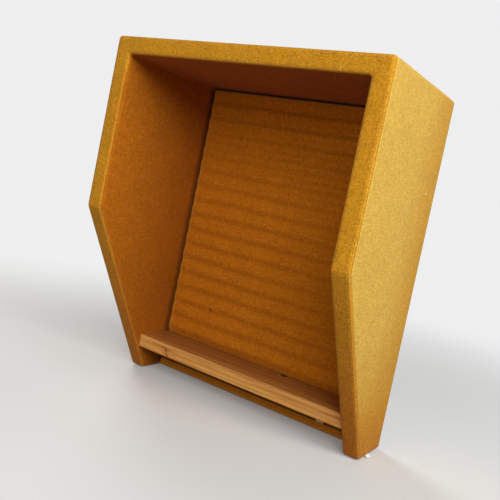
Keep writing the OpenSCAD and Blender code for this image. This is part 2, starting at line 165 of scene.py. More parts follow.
class NodeSheet:
    """Adds nodes to one node tree and joins them."""

    def __init__(self, tree: bpy.types.NodeTree) -> None:
        """Takes the tree to work on."""
        self.tree = tree

    def add(self, kind: str, **settings: object) -> bpy.types.Node:
        """Adds one node and sets its properties.

        Args:
            kind: Blender's name of the node's type.
            **settings: properties of the node, by name.

        Returns:
            The new node.
        """
        node = self.tree.nodes.new(kind)
        for name, value in settings.items():
            setattr(node, name, value)
        return node

    def feed(self, socket: Socket, value: object) -> None:
        """Links an input to an output, or sets its value.

        Args:
            socket: the input.
            value: a signal, an output, a colour, a vector or a number.
        """
        if isinstance(value, Signal):
            value = value.socket
        if isinstance(value, bpy.types.NodeSocket):
            self.tree.links.new(value, socket)
        elif socket.type == "RGBA":
            socket.default_value = (*value, 1.0)
        else:
            socket.default_value = value

    def fill(self, node: bpy.types.Node, values: Inputs) -> None:
        """Feeds several inputs of a node.

        Args:
            node: the node.
            values: what the inputs take, in their order, or by name or number.
        """
        for key, value in values.items() if isinstance(values, dict) else enumerate(values):
            self.feed(node.inputs[key], value)

    def put(self, kind: str, values: Inputs, output: int | str = 0, **settings: object) -> Signal:
        """Adds one node, feeds it and hands back one of its outputs.

        Args:
            kind: Blender's name of the node's type.
            values: what the inputs take, in their order, or by name or number.
            output: number or name of the output.
            **settings: properties of the node, by name.

        Returns:
            The output's signal.
        """
        node = self.add(kind, **settings)
        self.fill(node, values)
        return Signal(self, node.outputs[output])

    def math(self, operation: str, *values: object, clamp: bool = False) -> Signal:
        """Result of one Math node, kept from 0 to 1 if clamp is set."""
        return self.put("ShaderNodeMath", values, operation=operation, use_clamp=clamp)

    def mix(self, share: object, first: object, second: object, blend: str = "MIX") -> Signal:
        """Colour between two colours.

        Args:
            share: how much of the second colour there is, from 0 to 1.
            first: a colour or a signal.
            second: a colour or a signal.
            blend: the node's blend type.

        Returns:
            The mixed colour.
        """
        inputs = {0: share, 6: first, 7: second}
        return self.put("ShaderNodeMix", inputs, 2, data_type="RGBA", blend_type=blend)

    def blend(self, share: object, first: object, second: object) -> Signal:
        """Shader between two shaders."""
        return self.put("ShaderNodeMixShader", (share, first, second))

    def noise(self, place: object, scale: float, detail: float = 2.0, rough: float = 0.5) -> Signal:
        """Value of a noise at a place.

        Args:
            place: the vector to read at.
            scale: features per metre.
            detail: number of finer octaves.
            rough: strength of the finer octaves.

        Returns:
            The noise's value, about 0.5 on average.
        """
        inputs = {"Vector": place, "Scale": scale, "Detail": detail, "Roughness": rough}
        return self.put("ShaderNodeTexNoise", inputs, "Fac")

    def drawn_noise(
        self, place: object, scales: Sequence[float], detail: float = 2.0, rough: float = 0.5
    ) -> Signal:
        """Value of a noise that has its own number of features per metre along each axis."""
        return self.noise(self.stretch(place, scales), 1.0, detail, rough)

    def ramp(
        self, value: Signal, low: object, high: object, start: float = 0.0, end: float = 1.0
    ) -> Signal:
        """Value carried smoothly from the span low to high on to the span start to end."""
        inputs = (value, low, high, start, end)
        return self.put("ShaderNodeMapRange", inputs, interpolation_type="SMOOTHSTEP")

    def stretch(
        self, place: object, scales: Sequence[float], shift: Sequence[float] = (0, 0, 0)
    ) -> Signal:
        """Vector scaled, and then moved, along each axis."""
        return self.put("ShaderNodeMapping", {"Vector": place, "Scale": scales, "Location": shift})

    def length(self, vector: object) -> Signal:
        """Length of a vector."""
        return self.put("ShaderNodeVectorMath", [vector], "Value", operation="LENGTH")

    def split(self, place: object) -> tuple[Signal, ...]:
        """The three parts of a vector."""
        first = self.put("ShaderNodeSeparateXYZ", [place])
        return tuple(Signal(self, output) for output in first.socket.node.outputs)

    def mask(self, name: str) -> Signal:
        """Value of one of the mesh's own attributes."""
        return self.put("ShaderNodeAttribute", (), "Fac", attribute_name=name)


def new_group(
    name: str, inputs: dict[str, str], outputs: dict[str, str]
) -> tuple[bpy.types.NodeTree, NodeSheet, dict[str, Signal], bpy.types.bpy_prop_collection]:
    """Makes an empty shader node group with its sockets.

    Args:
        name: the group's name.
        inputs: the inputs' names in one string for each kind, which is Vector, Color or Float.
        outputs: the outputs' names, given in the same way.

    Returns:
        The group, a sheet on it, its inputs' signals by name, and its output node's inputs.
    """
    group = bpy.data.node_groups.new(name, "ShaderNodeTree")
    for in_out, sockets in (("INPUT", inputs), ("OUTPUT", outputs)):
        for kind, labels in sockets.items():
            for label in labels.split():
                group.interface.new_socket(label, in_out=in_out, socket_type=f"NodeSocket{kind}")
    sheet = NodeSheet(group)
    given = {socket.name: Signal(sheet, socket) for socket in sheet.add("NodeGroupInput").outputs}
    return group, sheet, given, sheet.add("NodeGroupOutput").inputs


def felt_group() -> bpy.types.NodeTree:
    """Wool felt: a melange of threads, dark and pale flecks, a faint weave and worn, fuzzy edges.

    The melange and the flecks are noises in the object's own coordinates, so they run on from piece
    to piece. The weave is two noises drawn out along the two axes of the cloth's UV map. Where
    Brushed is over 0 the colour moves towards the pale nap, and where it is under 0
    towards a deeper tone; the pieces use it for their own tone and for painted light and shade.
    Crease moves the colour towards the dark colour: a faint tone of its own on the
    inside felt, and painted shade elsewhere.

    Returns:
        The group, with outputs for the colour, the bump's height and the roughness.
    """
    group, s, given, result = new_group(
        "melange felt",
        {"Vector": "Place Cloth", "Color": "Base Pale Dark Nap", "Float": "Fuzz Crease Brushed"},
        {"Color": "Color", "Float": "Height Loft"},
    )
    place, cloth = given["Place"], given["Cloth"]
    thread = s.noise(place, 310, 3, 0.7)
    grain = s.noise(place, 170, 2, 0.6)
    fleck = s.noise(place, 235, 1, 0.5)
    mottle = s.noise(place, 12, 3, 0.55)
    weave = s.drawn_noise(cloth, (420, 34, 1)) + s.drawn_noise(cloth, (34, 420, 1))
    tone = (thread - 0.5) * 1.35 + (grain - 0.5) * 0.7 + (weave - 1.0) * 0.45 + (mottle - 0.5) * 0.22
    # Shares of the pale nap and of the deeper tone, which carry painted light and shade as well as tone.
    paler_share = s.math("MAXIMUM", given["Brushed"], 0.0)
    deeper_share = s.math("MAXIMUM", -given["Brushed"], 0.0)
    body = s.mix(paler_share * 0.55, given["Base"], given["Nap"])
    body = s.mix(deeper_share, body, DEEP_TONE_AND_SHADE, "MULTIPLY")
    body = s.mix(1.0, body, 1.0 + tone, "MULTIPLY")
    body = s.mix(s.ramp(fleck, 0.60, 0.74, 0.0, 0.4), body, given["Dark"])
    body = s.mix(s.ramp(1.0 - fleck, 0.62, 0.76, 0.0, 0.4), body, given["Pale"])
    lint = given["Fuzz"] * s.ramp(s.noise(place, 520, 2, 0.6), 0.35, 0.65, 0.25, 1.0)
    body = s.mix(lint * 0.6, body, given["Pale"])
    # Painted shade, with a faint tone of its own, moves the colour towards the dark colour.
    body = s.mix(given["Crease"] * 0.75, body, given["Dark"])
    hairs = s.noise(place, 1200, 2, 0.6)
    s.feed(result["Color"], body)
    s.feed(result["Height"], thread * 0.7 + weave * 0.2 + hairs * 0.3)
    s.feed(result["Loft"], s.ramp(thread, 0.3, 0.7, 0.85, 1.0))
    return group


def timber_group() -> bpy.types.NodeTree:
    """Planed solid timber whose grain runs along X, with growth rings, pores and a forked crack.

    The rings are a sine of the distance from a pith line below the board, bent by a slow noise and
    near the knot. The knot is a bell curve of the distance to its middle. The crack is a slanted
    line through the knot, and it has a shorter, steeper branch.

    Returns:
        The group, with outputs for the colour, the bump's height and the roughness.
    """
    group, s, given, result = new_group(
        "planed timber",
        {"Vector": "Place Knot", "Color": "Early Late Scar Handled", "Float": "Top"},
        {"Color": "Color", "Float": "Height Roughness"},
    )
    place, top = given["Place"], given["Top"]
    part = s.split(s.put("ShaderNodeVectorMath", (place, given["Knot"]), operation="SUBTRACT"))
    far_x, far_y, far_z = (abs(axis / reach) ** 2.0 for axis, reach in zip(part, KNOT_REACH))
    near = s.math("POWER", math.e, -(far_x + far_y + far_z))
    y, z = s.split(place)[1:]
    ring = s.math("SQRT", (y - PITH_LINE[0]) ** 2.0 + (z - PITH_LINE[1]) ** 2.0)
    slow = s.drawn_noise(place, (1.5, 11, 11), 3, 0.55)
    rings = ((s.math("SINE", ring * 620.0 + slow * 34.0 + near * 5.0) + 1.0) * 0.5) ** 2.4
    streak = s.drawn_noise(place, (7, 300, 300), 4, 0.7)
    vein = s.drawn_noise(place, (3.5, 90, 90), 3, 0.6)
    pore = s.ramp(s.drawn_noise(place, (45, 1300, 1300), 2, 0.6), 0.58, 0.70)
    # Painted shade on the top, deepest towards the back.
    handled = s.ramp(z, top, top + 0.0004, 0.0, 0.72) * s.ramp(y, -0.176, -0.118, 0.42, 1.0)
    body = s.mix(rings * 0.45, given["Early"], given["Late"])
    body = s.mix(s.ramp(vein, 0.46, 0.72, 0.0, 0.8), body, given["Late"])
    body = s.mix(handled, body, given["Handled"])
    body = s.mix(1.0, body, 0.55 + streak * 0.9, "MULTIPLY")
    body = s.mix(pore * 0.3, body, given["Scar"])
    body = s.mix(s.ramp(near, 0.25, 0.9) * 0.4, body, given["Late"])
    bend = (s.noise(place, 110, 2, 0.6) - 0.5) * 0.010
    slanted, steep = (abs(part[0] + part[2] * lean + bend) for lean in (0.75, -0.1))
    crack = s.ramp(slanted, 0.0010, 0.0024, 1.0, 0.0) * s.ramp(near, 0.12, 0.35)
    branch = s.ramp(steep, 0.0008, 0.0018, 1.0, 0.0) * s.ramp(part[2], 0.001, 0.004)
    crack = s.math("MAXIMUM", crack, branch * s.ramp(near, 0.3, 0.6))
    s.feed(result["Color"], s.mix(crack, body, given["Scar"]))
    s.feed(result["Height"], streak * 0.5 - pore * 0.4 - crack * 3.0)
    s.feed(result["Roughness"], 0.45 + rings * 0.12)
    return group


def layer_group() -> bpy.types.NodeTree:
    """Plywood: veneers stacked along one axis, with a birch figure on the faces.

    A veneer's tone is the sign of a sine wave along the stacking axis, and the figure is a long
    stretched noise.

    Returns:
        The group, with outputs for the colour and the bump's height.
    """
    group, s, given, result = new_group(
        "plywood layers", {"Vector": "Place", "Float": "Across"}, {"Color": "Color", "Float": "Height"}
    )
    veneer = s.ramp(s.math("SINE", given["Across"] * VENEER_WAVE), -0.2, 0.2)
    figure = s.drawn_noise(given["Place"], (9, 60, 9), 4, 0.6)
    fleck = s.noise(given["Place"], 900, 2, 0.6)
    body = s.mix(veneer, srgb(214, 184, 138), srgb(178, 141, 96))
    body = s.mix(s.ramp(figure, 0.4, 0.7, 0.0, 0.5), body, srgb(196, 158, 110))
    body = s.mix(s.ramp(fleck, 0.6, 0.75, 0.0, 0.4), body, srgb(132, 98, 62))
    s.feed(result["Color"], body)
    s.feed(result["Height"], figure + fleck * 0.4)
    return group


def grit_group() -> bpy.types.NodeTree:
    """Speckled finish with a slow cloud over it, for foam, tape, lining and plated steel.

    Tones are a fine noise and a slow noise, and the cells are the distances of a Voronoi pattern.

    Returns:
        The group, with outputs for the colour, the bump's height and the cloud.
    """
    group, s, given, result = new_group(
        "speckled grit",
        {"Vector": "Place", "Color": "Base Second", "Float": "Cell"},
        {"Color": "Color", "Float": "Height Cloud"},
    )
    place = given["Place"]
    cells = s.put("ShaderNodeTexVoronoi", {"Vector": place, "Scale": given["Cell"]}, "Distance")
    fine = s.noise(place, 1100, 2, 0.6)
    cloud = s.noise(place, 17, 3, 0.6)
    share = s.math("ADD", cells * 0.55 + fine * 0.3, cloud * 0.25, clamp=True)
    s.feed(result["Color"], s.mix(share, given["Base"], given["Second"]))
    s.feed(result["Height"], cells + fine * 0.4)
    s.feed(result["Cloud"], cloud)
    return group


class Groups:
    """The shared node groups, each made once, when first asked for."""

    _made: dict[str, bpy.types.NodeTree] = {}

    @classmethod
    def get(cls, maker: Callable[[], bpy.types.NodeTree]) -> bpy.types.NodeTree:
        """The group that a maker function builds."""
        if maker.__name__ not in cls._made:
            cls._made[maker.__name__] = maker()
        return cls._made[maker.__name__]


def start_material(name: str) -> tuple[bpy.types.Material, NodeSheet, bpy.types.Node]:
    """Makes a material that holds one Principled BSDF and its output.

    Args:
        name: the material's name.

    Returns:
        The material, a sheet on its tree, and the shader.
    """
    material = bpy.data.materials.new(name)
    material.use_nodes = True
    material.node_tree.nodes.clear()
    sheet = NodeSheet(material.node_tree)
    shader = sheet.add("ShaderNodeBsdfPrincipled")
    sheet.feed(sheet.add("ShaderNodeOutputMaterial").inputs["Surface"], shader.outputs[0])
    return material, sheet, shader


def use_group(
    sheet: NodeSheet, maker: Callable[[], bpy.types.NodeTree], **values: object
) -> bpy.types.bpy_prop_collection:
    """Places a shared group in a material.

    Args:
        sheet: the material's sheet.
        maker: the function that builds the group.
        **values: what the group's inputs take, by name.

    Returns:
        The group's outputs.
    """
    node = sheet.add("ShaderNodeGroup", node_tree=Groups.get(maker))
    sheet.fill(node, values)
    return node.outputs


def raise_bump(
    sheet: NodeSheet, shader: bpy.types.Node, height: object, depth: float, strength: float
) -> None:
    """Gives a shader a bump.

    Args:
        sheet: the material's sheet.
        shader: the shader.
        height: the bump's height, from 0 to about 1.
        depth: how deep a height of 1 is, in metres.
        strength: how strong the bump is, from 0 to 1.
    """
    inputs = {"Strength": strength, "Distance": depth, "Height": height}
    sheet.feed(shader.inputs["Normal"], sheet.put("ShaderNodeBump", inputs))


@dataclass(frozen=True)
class Speck:
    """A small mark in the felt: where it is, its half lengths along the axes, and its colour."""

    place: tuple[float, float, float]
    reach: tuple[float, float, float]
    colour: Colour
    strength: float

    def lay(self, s: NodeSheet, place: Socket, under: object) -> Signal:
        """Lays the mark over a colour.

        Args:
            s: the material's sheet.
            place: the object's coordinates.
            under: the colour under the mark.

        Returns:
            The colour with the mark in it.
        """
        shift = [-p / r for p, r in zip(self.place, self.reach)]
        away = s.length(s.stretch(place, [1 / r for r in self.reach], shift))
        return s.mix(s.ramp(away, 0.5, 1.2, self.strength, 0.0), under, self.colour)


@dataclass(frozen=True)
class Felt:
    """Wool felt in one dye, with a soft sheen and the marks of use."""

    name: str
    base: Colour
    pale: Colour
    dark: Colour
    nap: Colour
    sheen: float = 0.12
    sheen_tint: Colour = (1.0, 0.93, 0.78)
    bump: float = 0.0006
    specks: tuple[Speck, ...] = ()

    def make(self) -> bpy.types.Material:
        """Builds the material.

        Returns:
            The finished material.
        """
        material, s, shader = start_material(self.name)
        place = s.add("ShaderNodeTexCoord").outputs
        felt = use_group(
            s, felt_group, Place=place["Object"], Cloth=place["UV"], Base=self.base, Pale=self.pale,
            Dark=self.dark, Nap=self.nap, Fuzz=s.mask("fuzz"), Crease=s.mask("crease"),
            Brushed=s.mask("brushed"),
        )
        colour = felt["Color"]
        for speck in self.specks:
            colour = speck.lay(s, place["Object"], colour)
        s.fill(shader, {
            "Base Color": colour, "Roughness": felt["Loft"], "Specular IOR Level": 0.12,
            "Sheen Weight": self.sheen, "Sheen Roughness": 0.45, "Sheen Tint": self.sheen_tint,
        })
        raise_bump(s, shader, felt["Height"], self.bump, 0.6)
        return material


@dataclass(frozen=True)
class Timber:
    """Oiled solid timber with one knot, and painted shade on its top, deepest towards the back."""

    name: str
    early: Colour
    late: Colour
    scar: Colour
    handled: Colour
    knot: tuple[float, float, float]
    top: float

    def make(self) -> bpy.types.Material:
        """Builds the material.

        Returns:
            The finished material.
        """
        material, s, shader = start_material(self.name)
        wood = use_group(
            s, timber_group, Place=s.add("ShaderNodeTexCoord").outputs["Object"], Early=self.early,
            Late=self.late, Scar=self.scar, Knot=self.knot, Handled=self.handled, Top=self.top,
        )
        s.fill(shader, {
            "Base Color": wood["Color"], "Roughness": wood["Roughness"], "Specular IOR Level": 0.35,
        })
        raise_bump(s, shader, wood["Height"], 0.0003, 0.5)
        return material


@dataclass(frozen=True)
class Plywood:
    """Birch plywood whose veneers are stacked along one axis."""

    name: str
    across: Axis

    def make(self) -> bpy.types.Material:
        """Builds the material.

        Returns:
            The finished material.
        """
        material, s, shader = start_material(self.name)
        place = s.add("ShaderNodeTexCoord").outputs["Object"]
        ply = use_group(s, layer_group, Place=place, Across=s.split(place)[self.across.value])
        s.fill(shader, {"Base Color": ply["Color"], "Roughness": 0.7})
        raise_bump(s, shader, ply["Height"], 0.0002, 0.4)
        return material


@dataclass(frozen=True)
class Grit:
    """Plain speckled finish: foam, tape, lining, hardboard or plated steel."""

    name: str
    base: Colour
    second: Colour
    cell: float
    roughness: float = 0.9
    metallic: float = 0.0
    sheen: float = 0.0
    bump: float = 0.0004

    def make(self) -> bpy.types.Material:
        """Builds the material.

        Returns:
            The finished material.
        """
        material, s, shader = start_material(self.name)
        place = s.add("ShaderNodeTexCoord").outputs["Object"]
        grit = use_group(
            s, grit_group, Place=place, Base=self.base, Second=self.second, Cell=self.cell
        )
        smooth, rough = self.roughness * 0.85, min(1.0, self.roughness * 1.1)
        s.fill(shader, {
            "Base Color": grit["Color"], "Roughness": s.ramp(grit["Cloud"], 0.3, 0.7, smooth, rough),
            "Metallic": self.metallic, "Sheen Weight": self.sheen,
        })
        raise_bump(s, shader, grit["Height"], self.bump, 0.5)
        return material


@dataclass(frozen=True)
class TapeWeave:
    """Narrow woven tape, ribbed across its width along the cloth's UV map, tan on the rail's tab.

    The weave is the product of two sine waves. Their fields give radians per metre.
    """

    name: str
    base: Colour
    shade: Colour
    tan: Colour
    ribs: float = 7800.0
    warps: float = 10500.0

    def make(self) -> bpy.types.Material:
        """Builds the material.

        Returns:
            The finished material.
        """
        material, s, shader = start_material(self.name)
        place = s.add("ShaderNodeTexCoord").outputs
        cloth = s.split(place["UV"])
        rib = s.math("SINE", cloth[0] * self.ribs)
        warp = s.math("SINE", cloth[1] * self.warps)
        weave = (rib * warp + 1.0) * 0.5
        soil = s.ramp(s.noise(place["Object"], 160, 3, 0.6), 0.45, 0.8, 0.0, 0.35)
        body = s.mix(weave * 0.25, self.base, self.shade)
        body = s.mix(soil, body, self.shade)
        # Tan on the rail's tab.
        body = s.mix(s.mask("darker_share") * 0.9, body, self.tan)
        s.fill(shader, {"Base Color": body, "Roughness": 0.8})
        raise_bump(s, shader, weave, 0.0002, 0.6)
        return material


FINISHES = {
    # In the felts the nap colour also carries painted light, and the dark colour painted shade, through
    # each piece's masks.
    "outer felt": Felt(
        "outer_felt", srgb(190, 131, 21), srgb(232, 192, 96), srgb(112, 64, 8), srgb(222, 189, 91), 0.12,
        specks=(
            Speck((0.39, -0.2662, -0.132), (0.01, 0.0035, 0.0065), srgb(150, 108, 40), 0.45),
            Speck((0.39, -0.0733, 0.1874), (0.01, 0.005, 0.0028), srgb(250, 226, 160), 0.7),
            Speck((0.2723, -0.45, 0.4043), (0.002, 0.01, 0.0035), srgb(244, 206, 120), 0.5),
        ),
    ),
    "inner felt": Felt(
        "inner_felt", srgb(176, 101, 10), srgb(214, 158, 66), srgb(96, 48, 4), srgb(208, 176, 80), 0.06,
        specks=(Speck((-0.1885, -0.062, -0.2792), (0.0035, 0.01, 0.0075), srgb(74, 36, 6), 0.8),),
    ),
    # The fourth colour is the painted shade on the shelf's top.
    "shelf timber": Timber(
        "shelf_timber", srgb(216, 157, 80), srgb(172, 100, 42), srgb(52, 24, 12), srgb(146, 82, 32),
        (-0.239, -0.178, -0.4145), -0.3916,
    ),
    "plywood x": Plywood("plywood_side", Axis.X),
    "plywood y": Plywood("plywood_back", Axis.Y),
    "plywood z": Plywood("plywood_top", Axis.Z),
    "foam": Grit("foam", srgb(96, 97, 100), srgb(58, 59, 62), 620),
    "hardboard": Grit("hardboard", srgb(126, 92, 60), srgb(86, 60, 38), 380, 0.8, bump=0.0002),
    "steel": Grit(
        "zinc_plated_steel", srgb(196, 198, 202), srgb(150, 152, 158), 140, 0.34, 1.0, bump=0.0001
    ),
    "lining": Grit("dust_lining", srgb(30, 30, 32), srgb(52, 52, 55), 700, 0.88, sheen=0.2, bump=0.0003),
    "tape": Grit("hook_and_loop", srgb(26, 26, 28), srgb(58, 58, 62), 1500, 0.95, sheen=0.35, bump=0.0006),
    "tab": TapeWeave("woven_tab", srgb(250, 248, 246), srgb(206, 198, 190), srgb(196, 142, 98)),
}
NODE_FINISH = {
    Slot.FOAM: "foam",
    Slot.HARDBOARD: "hardboard",
    Slot.SHELF_WOOD: "shelf timber",
    Slot.STEEL: "steel",
    Slot.STRIP: "tape",
    Slot.OUTER_FELT: "outer felt",
    Slot.INNER_FELT: "inner felt",
    Slot.LINING: "lining",
    Slot.TAB: "tab",
}
PLYWOOD_FINISH = {
    "left_side_core": "plywood x",
    "right_side_core": "plywood x",
    "top_core": "plywood z",
    "back_board": "plywood y",
    "rail_core": "plywood y",
}


class Paint:
    """The finished materials, each made once."""

    _made: dict[str, bpy.types.Material] = {}

    @classmethod
    def get(cls, name: str) -> bpy.types.Material:
        """The material of a finish, by the finish's name."""
        if name not in cls._made:
            cls._made[name] = FINISHES[name].make()
        return cls._made[name]


def grid_faces(rows: int, columns: int) -> Array:
    """Quads of a grid of points stored row after row.

    Args:
        rows: number of rows.
        columns: number of points in a row.

    Returns:
        An (n, 4) array of point numbers.
    """
    i, j = np.meshgrid(np.arange(rows - 1), np.arange(columns - 1), indexing="ij")
    first = (i * columns + j).ravel()
    return np.stack([first, first + columns, first + columns + 1, first + 1], axis=1)


def tube_faces(rings: Array) -> Array:
    """Quads between closed rings of points, from a (rings, places) array of point numbers."""
    following = np.roll(rings, -1, axis=1)
    return spread(rings[:-1], rings[1:], following[1:], following[:-1]).reshape(-1, 4)


def make_piece(
    name: str,
    points: Array,
    faces: Array,
    cloth: Array | None = None,
    masks: dict[str, Array] | None = None,
    finish: str | None = None,
) -> bpy.types.Object:
    """Makes a smooth mesh piece at the origin.

    Args:
        name: the piece's name.
        points: points in the row frame, in an array of any shape that ends in 3.
        faces: (m, 4) point numbers.
        cloth: places of the points on the flat cloth in metres, for the UV map.
        masks: a value for each point, by attribute name.
        finish: the name of its finish.

    Returns:
        The piece's object.
    """
    mesh = bpy.data.meshes.new(name)
    mesh.from_pydata(points.reshape(-1, 3).tolist(), [], faces.tolist())
    if cloth is not None:
        layer = mesh.uv_layers.new(name="cloth")
        corner = np.empty(len(mesh.loops), dtype=np.int32)
        mesh.loops.foreach_get("vertex_index", corner)
        layer.data.foreach_set("uv", cloth.reshape(-1, 2)[corner].astype(np.float32).ravel())
    for label, values in (masks or {}).items():
        layer = mesh.attributes.new(label, "FLOAT", "POINT")
        layer.data.foreach_set("value", values.astype(np.float32).ravel())
    mesh.shade_smooth()
    piece = bpy.data.objects.new(name, mesh)
    bpy.context.scene.collection.objects.link(piece)
    if finish:
        mesh.materials.append(Paint.get(finish))
    return piece


def sheet_piece(
    name: str,
    points: Array,
    towards: Sequence[float],
    cloth: Array,
    masks: dict[str, Array],
    finish: str,
) -> bpy.types.Object:
    """Makes a piece from a (rows, columns, 3) grid of points.

    Args:
        name: the piece's name.
        points: the grid of points.
        towards: a direction that the middle of the grid faces.
        cloth: (rows, columns, 2) places on the flat cloth.
        masks: (rows, columns) values by attribute name.
        finish: the name of its finish.

    Returns:
        The piece's object, with its faces turned as asked.
    """
    rows, columns = points.shape[:2]
    i, j = rows // 4, columns // 2
    normal = np.cross(points[i + 1, j] - points[i, j], points[i, j + 1] - points[i, j])
    faces = grid_faces(rows, columns)
    if normal @ np.asarray(towards, dtype=float) < 0:
        faces = faces[:, ::-1]
    return make_piece(name, points, faces, cloth, masks, finish)


def thicken(piece: bpy.types.Object, thickness: float) -> None:
    """Gives a sheet its thickness, inwards from its visible face.

    Args:
        piece: the sheet.
        thickness: its thickness in metres.
    """
    wall = piece.modifiers.new("thickness", "SOLIDIFY")
    wall.thickness = thickness
    wall.offset = -1.0
    wall.use_even_offset = True


def hand_in(piece: bpy.types.Object, slot: Slot, *replaced: str) -> None:
    """Puts a piece on the body, hides the CAD nodes that it stands for and logs them.

    Args:
        piece: the piece's object.
        slot: its material slot on the record; not used.
        *replaced: the CAD nodes that it stands for.
    """
    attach(piece, BODY)
    if replaced:
        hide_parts(*replaced)
    stands_for = ", ".join(replaced) or "itself"
    LOG.info("%s: %d points, stands for %s", piece.name, len(piece.data.vertices), stands_for)


def spread(*parts: Array | float) -> Array:
    """Points, directions or cloth places from their parts, each spread over the whole grid."""
    return np.stack(np.broadcast_arrays(*parts), axis=-1)


def quarter(count: int) -> Array:
    """Angles of a quarter turn, from 0 up."""
    return np.linspace(0, math.pi / 2, count)


def stages(*counts: int) -> Array:
    """A (rows, 1) walk from 0 up through whole numbers, with a stage for each count of places."""
    walk = [number + np.linspace(0, 1, count)[1:] for number, count in enumerate(counts)]
    return np.concatenate(walk)[:, None]


def joined_spans(*spans: tuple[float, float, int]) -> Array:
    """Numbers that walk through joined spans of (start, end, steps), with no number twice."""
    parts = [np.linspace(start, end, steps + 1)[:-1] for start, end, steps in spans]
    return np.concatenate([*parts, [spans[-1][1]]])


def run_length(points: Array, axis: int) -> Array:
    """Length walked along one axis of a grid of points.

    Args:
        points: (rows, columns, 3) points.
        axis: 0 to walk from row to row, 1 from column to column.

    Returns:
        A (rows, columns) array, 0 at the start of each walk.
    """
    steps = np.linalg.norm(np.diff(points, axis=axis), axis=-1)
    start = np.zeros_like(np.take(steps, [0], axis=axis))
    return np.concatenate([start, np.cumsum(steps, axis=axis)], axis=axis)


def bell(distance: Array, width: float) -> Array:
    """Bell curve of a distance, 1 at zero."""
    return np.exp(-((distance / width) ** 2))


def part_of(distance: Array, length: float) -> Array:
    """Distance as a share of a length, kept from 0 to 1."""
    return np.clip(distance / length, 0, 1)


def puff(distance: Array, reach: float) -> Array:
    """Share of a padded crown at a distance from an edge: 1 less a falling exponential."""
    return 1 - np.exp(-np.maximum(distance, 0) / reach)


def least(*values: Array) -> Array:
    """The smallest of several values at each place."""
    return np.minimum.reduce(np.broadcast_arrays(*values))


def both_halves(left: Array) -> Array:
    """Joins the rows of a left half to their mirror images.

    Args:
        left: a grid of points or directions, or of single numbers, whose last row is at x = 0.

    Returns:
        The whole grid, with the middle row once.
    """
    right = left[-2::-1].copy()
    if left.ndim == 3:
        right[..., 0] *= -1
    return np.concatenate([left, right])


@dataclass
class HoodShape:
    """Sizes of the felt-covered frame, and the points along its edges.

    The side profile runs from the toe at the foot up the slope to the knee and on up to the top. In
    the front view the frame's corners are round, and each line that runs beside the outer edge, at
    any distance in from it, turns with the same radius.
    """

    half_width: float
    foot: float
    top: float
    front: float
    knee: float = 0.480
    base: float = 0.140
    toe_radius: float = 0.012
    knee_radius: float = 0.024
    frame_radius: float = 0.009
    panel: float = 0.046
    edge_radius: float = 0.007
    leg: float = 0.009
    board_front: float = -0.014
    bend_points: int = 13

    @classmethod
    def from_frame(cls) -> "HoodShape":
        """Reads the overall sizes from the CAD frame."""
        low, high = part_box("front_band_cover")
        return cls(half_width=high.x, foot=low.z, top=high.z, front=low.y)

    @property
    def slope(self) -> float:
        """Angle of the slope's inward normal over the horizontal."""
        return math.atan2(-self.front - self.base, self.knee)

    def profile(self, depth: float, turn: int) -> tuple[Array, Array]:
        """Points of one rounded corner of the side profile.

        The corner's centre lies on its bisector at the rounding radius, and the points lie on the
        circle about it, less the depth.

        Args:
            depth: how far in from the felt's surface.
            turn: 0 for the toe and 1 for the knee.

        Returns:
            Arrays of y and z.
        """
        vertex, first, last, radius = (
            ((-self.base, self.foot), math.pi / 2, self.slope, self.toe_radius),
            ((self.front, self.foot + self.knee), self.slope, 0.0, self.knee_radius),
        )[turn]
        middle = (first + last) / 2
        reach = radius / math.cos((first - last) / 2)
        centre = (vertex[0] + reach * math.cos(middle), vertex[1] + reach * math.sin(middle))
        angle = np.linspace(first, last, self.bend_points)
        inner = radius - depth
        return centre[0] - inner * np.cos(angle), centre[1] - inner * np.sin(angle)

    def front_line(self, z: Array, depth: float) -> Array:
        """y of the free edge at given heights.

        Args:
            z: the heights.
            depth: how far in from the felt's surface.

        Returns:
            The y of each height.
        """
        toe_y, toe_z = self.profile(depth, 0)
        knee_y, knee_z = self.profile(depth, 1)
        heights = np.concatenate([toe_z, knee_z, [self.top]])
        return np.interp(z, heights, np.concatenate([toe_y, knee_y, [self.front + depth]]))

    def frame_point(self, inset: Array, walk: Array) -> tuple[Array, Array]:
        """x and z of the frame's left half in the front view, from the side up and over to the middle.

        Args:
            inset: distance in from the outer edge.
            walk: 0 to 1 up the side from the foot, 1 to 2 round the corner and 2 to 3 along the top.

        Returns:
            Arrays of x and z.
        """
        r = self.frame_radius
        angle = np.clip(walk - 1, 0, 1) * math.pi / 2
        corner_x = inset - self.half_width + r * (1 - np.cos(angle))
        corner_z = self.top - inset - r * (1 - np.sin(angle))
        rise = (self.top - inset - r - self.foot) * np.clip(walk, 0, 1)
        return corner_x * (1 - np.clip(walk - 2, 0, 1)), np.where(walk < 1, self.foot + rise, corner_z)

    def felt_walk(self, height: float, steps: int) -> Array:
        """Rows of a felt from the foot up one side and over to the middle, closer where it bends.

        Args:
            height: how high the felt's upper corner is over the foot.
            steps: steps from the knee up to the corner, and places along half of the top.

        Returns:
            A (rows, 1) array of walks for frame_point.
        """
        corner = height - self.frame_radius
        toe, knee_low, knee_high = self.leg + 0.03, self.knee - 0.03, self.knee + 0.02
        side = joined_spans(
            (self.leg, toe, 10),
            (toe, knee_low, 60),
            (knee_low, knee_high, 16),
            (knee_high, corner, steps),
        )
        return np.concatenate([side[:, None] / corner, 1 + stages(11, steps)])

    def outward(self, walk: Array) -> Array:
        """Outward direction of each row of both halves: to the side, round the corner and up."""
        angle = np.clip(walk - 1, 0, 1) * math.pi / 2
        return both_halves(spread(-np.cos(angle), 0 * angle, np.sin(angle)))


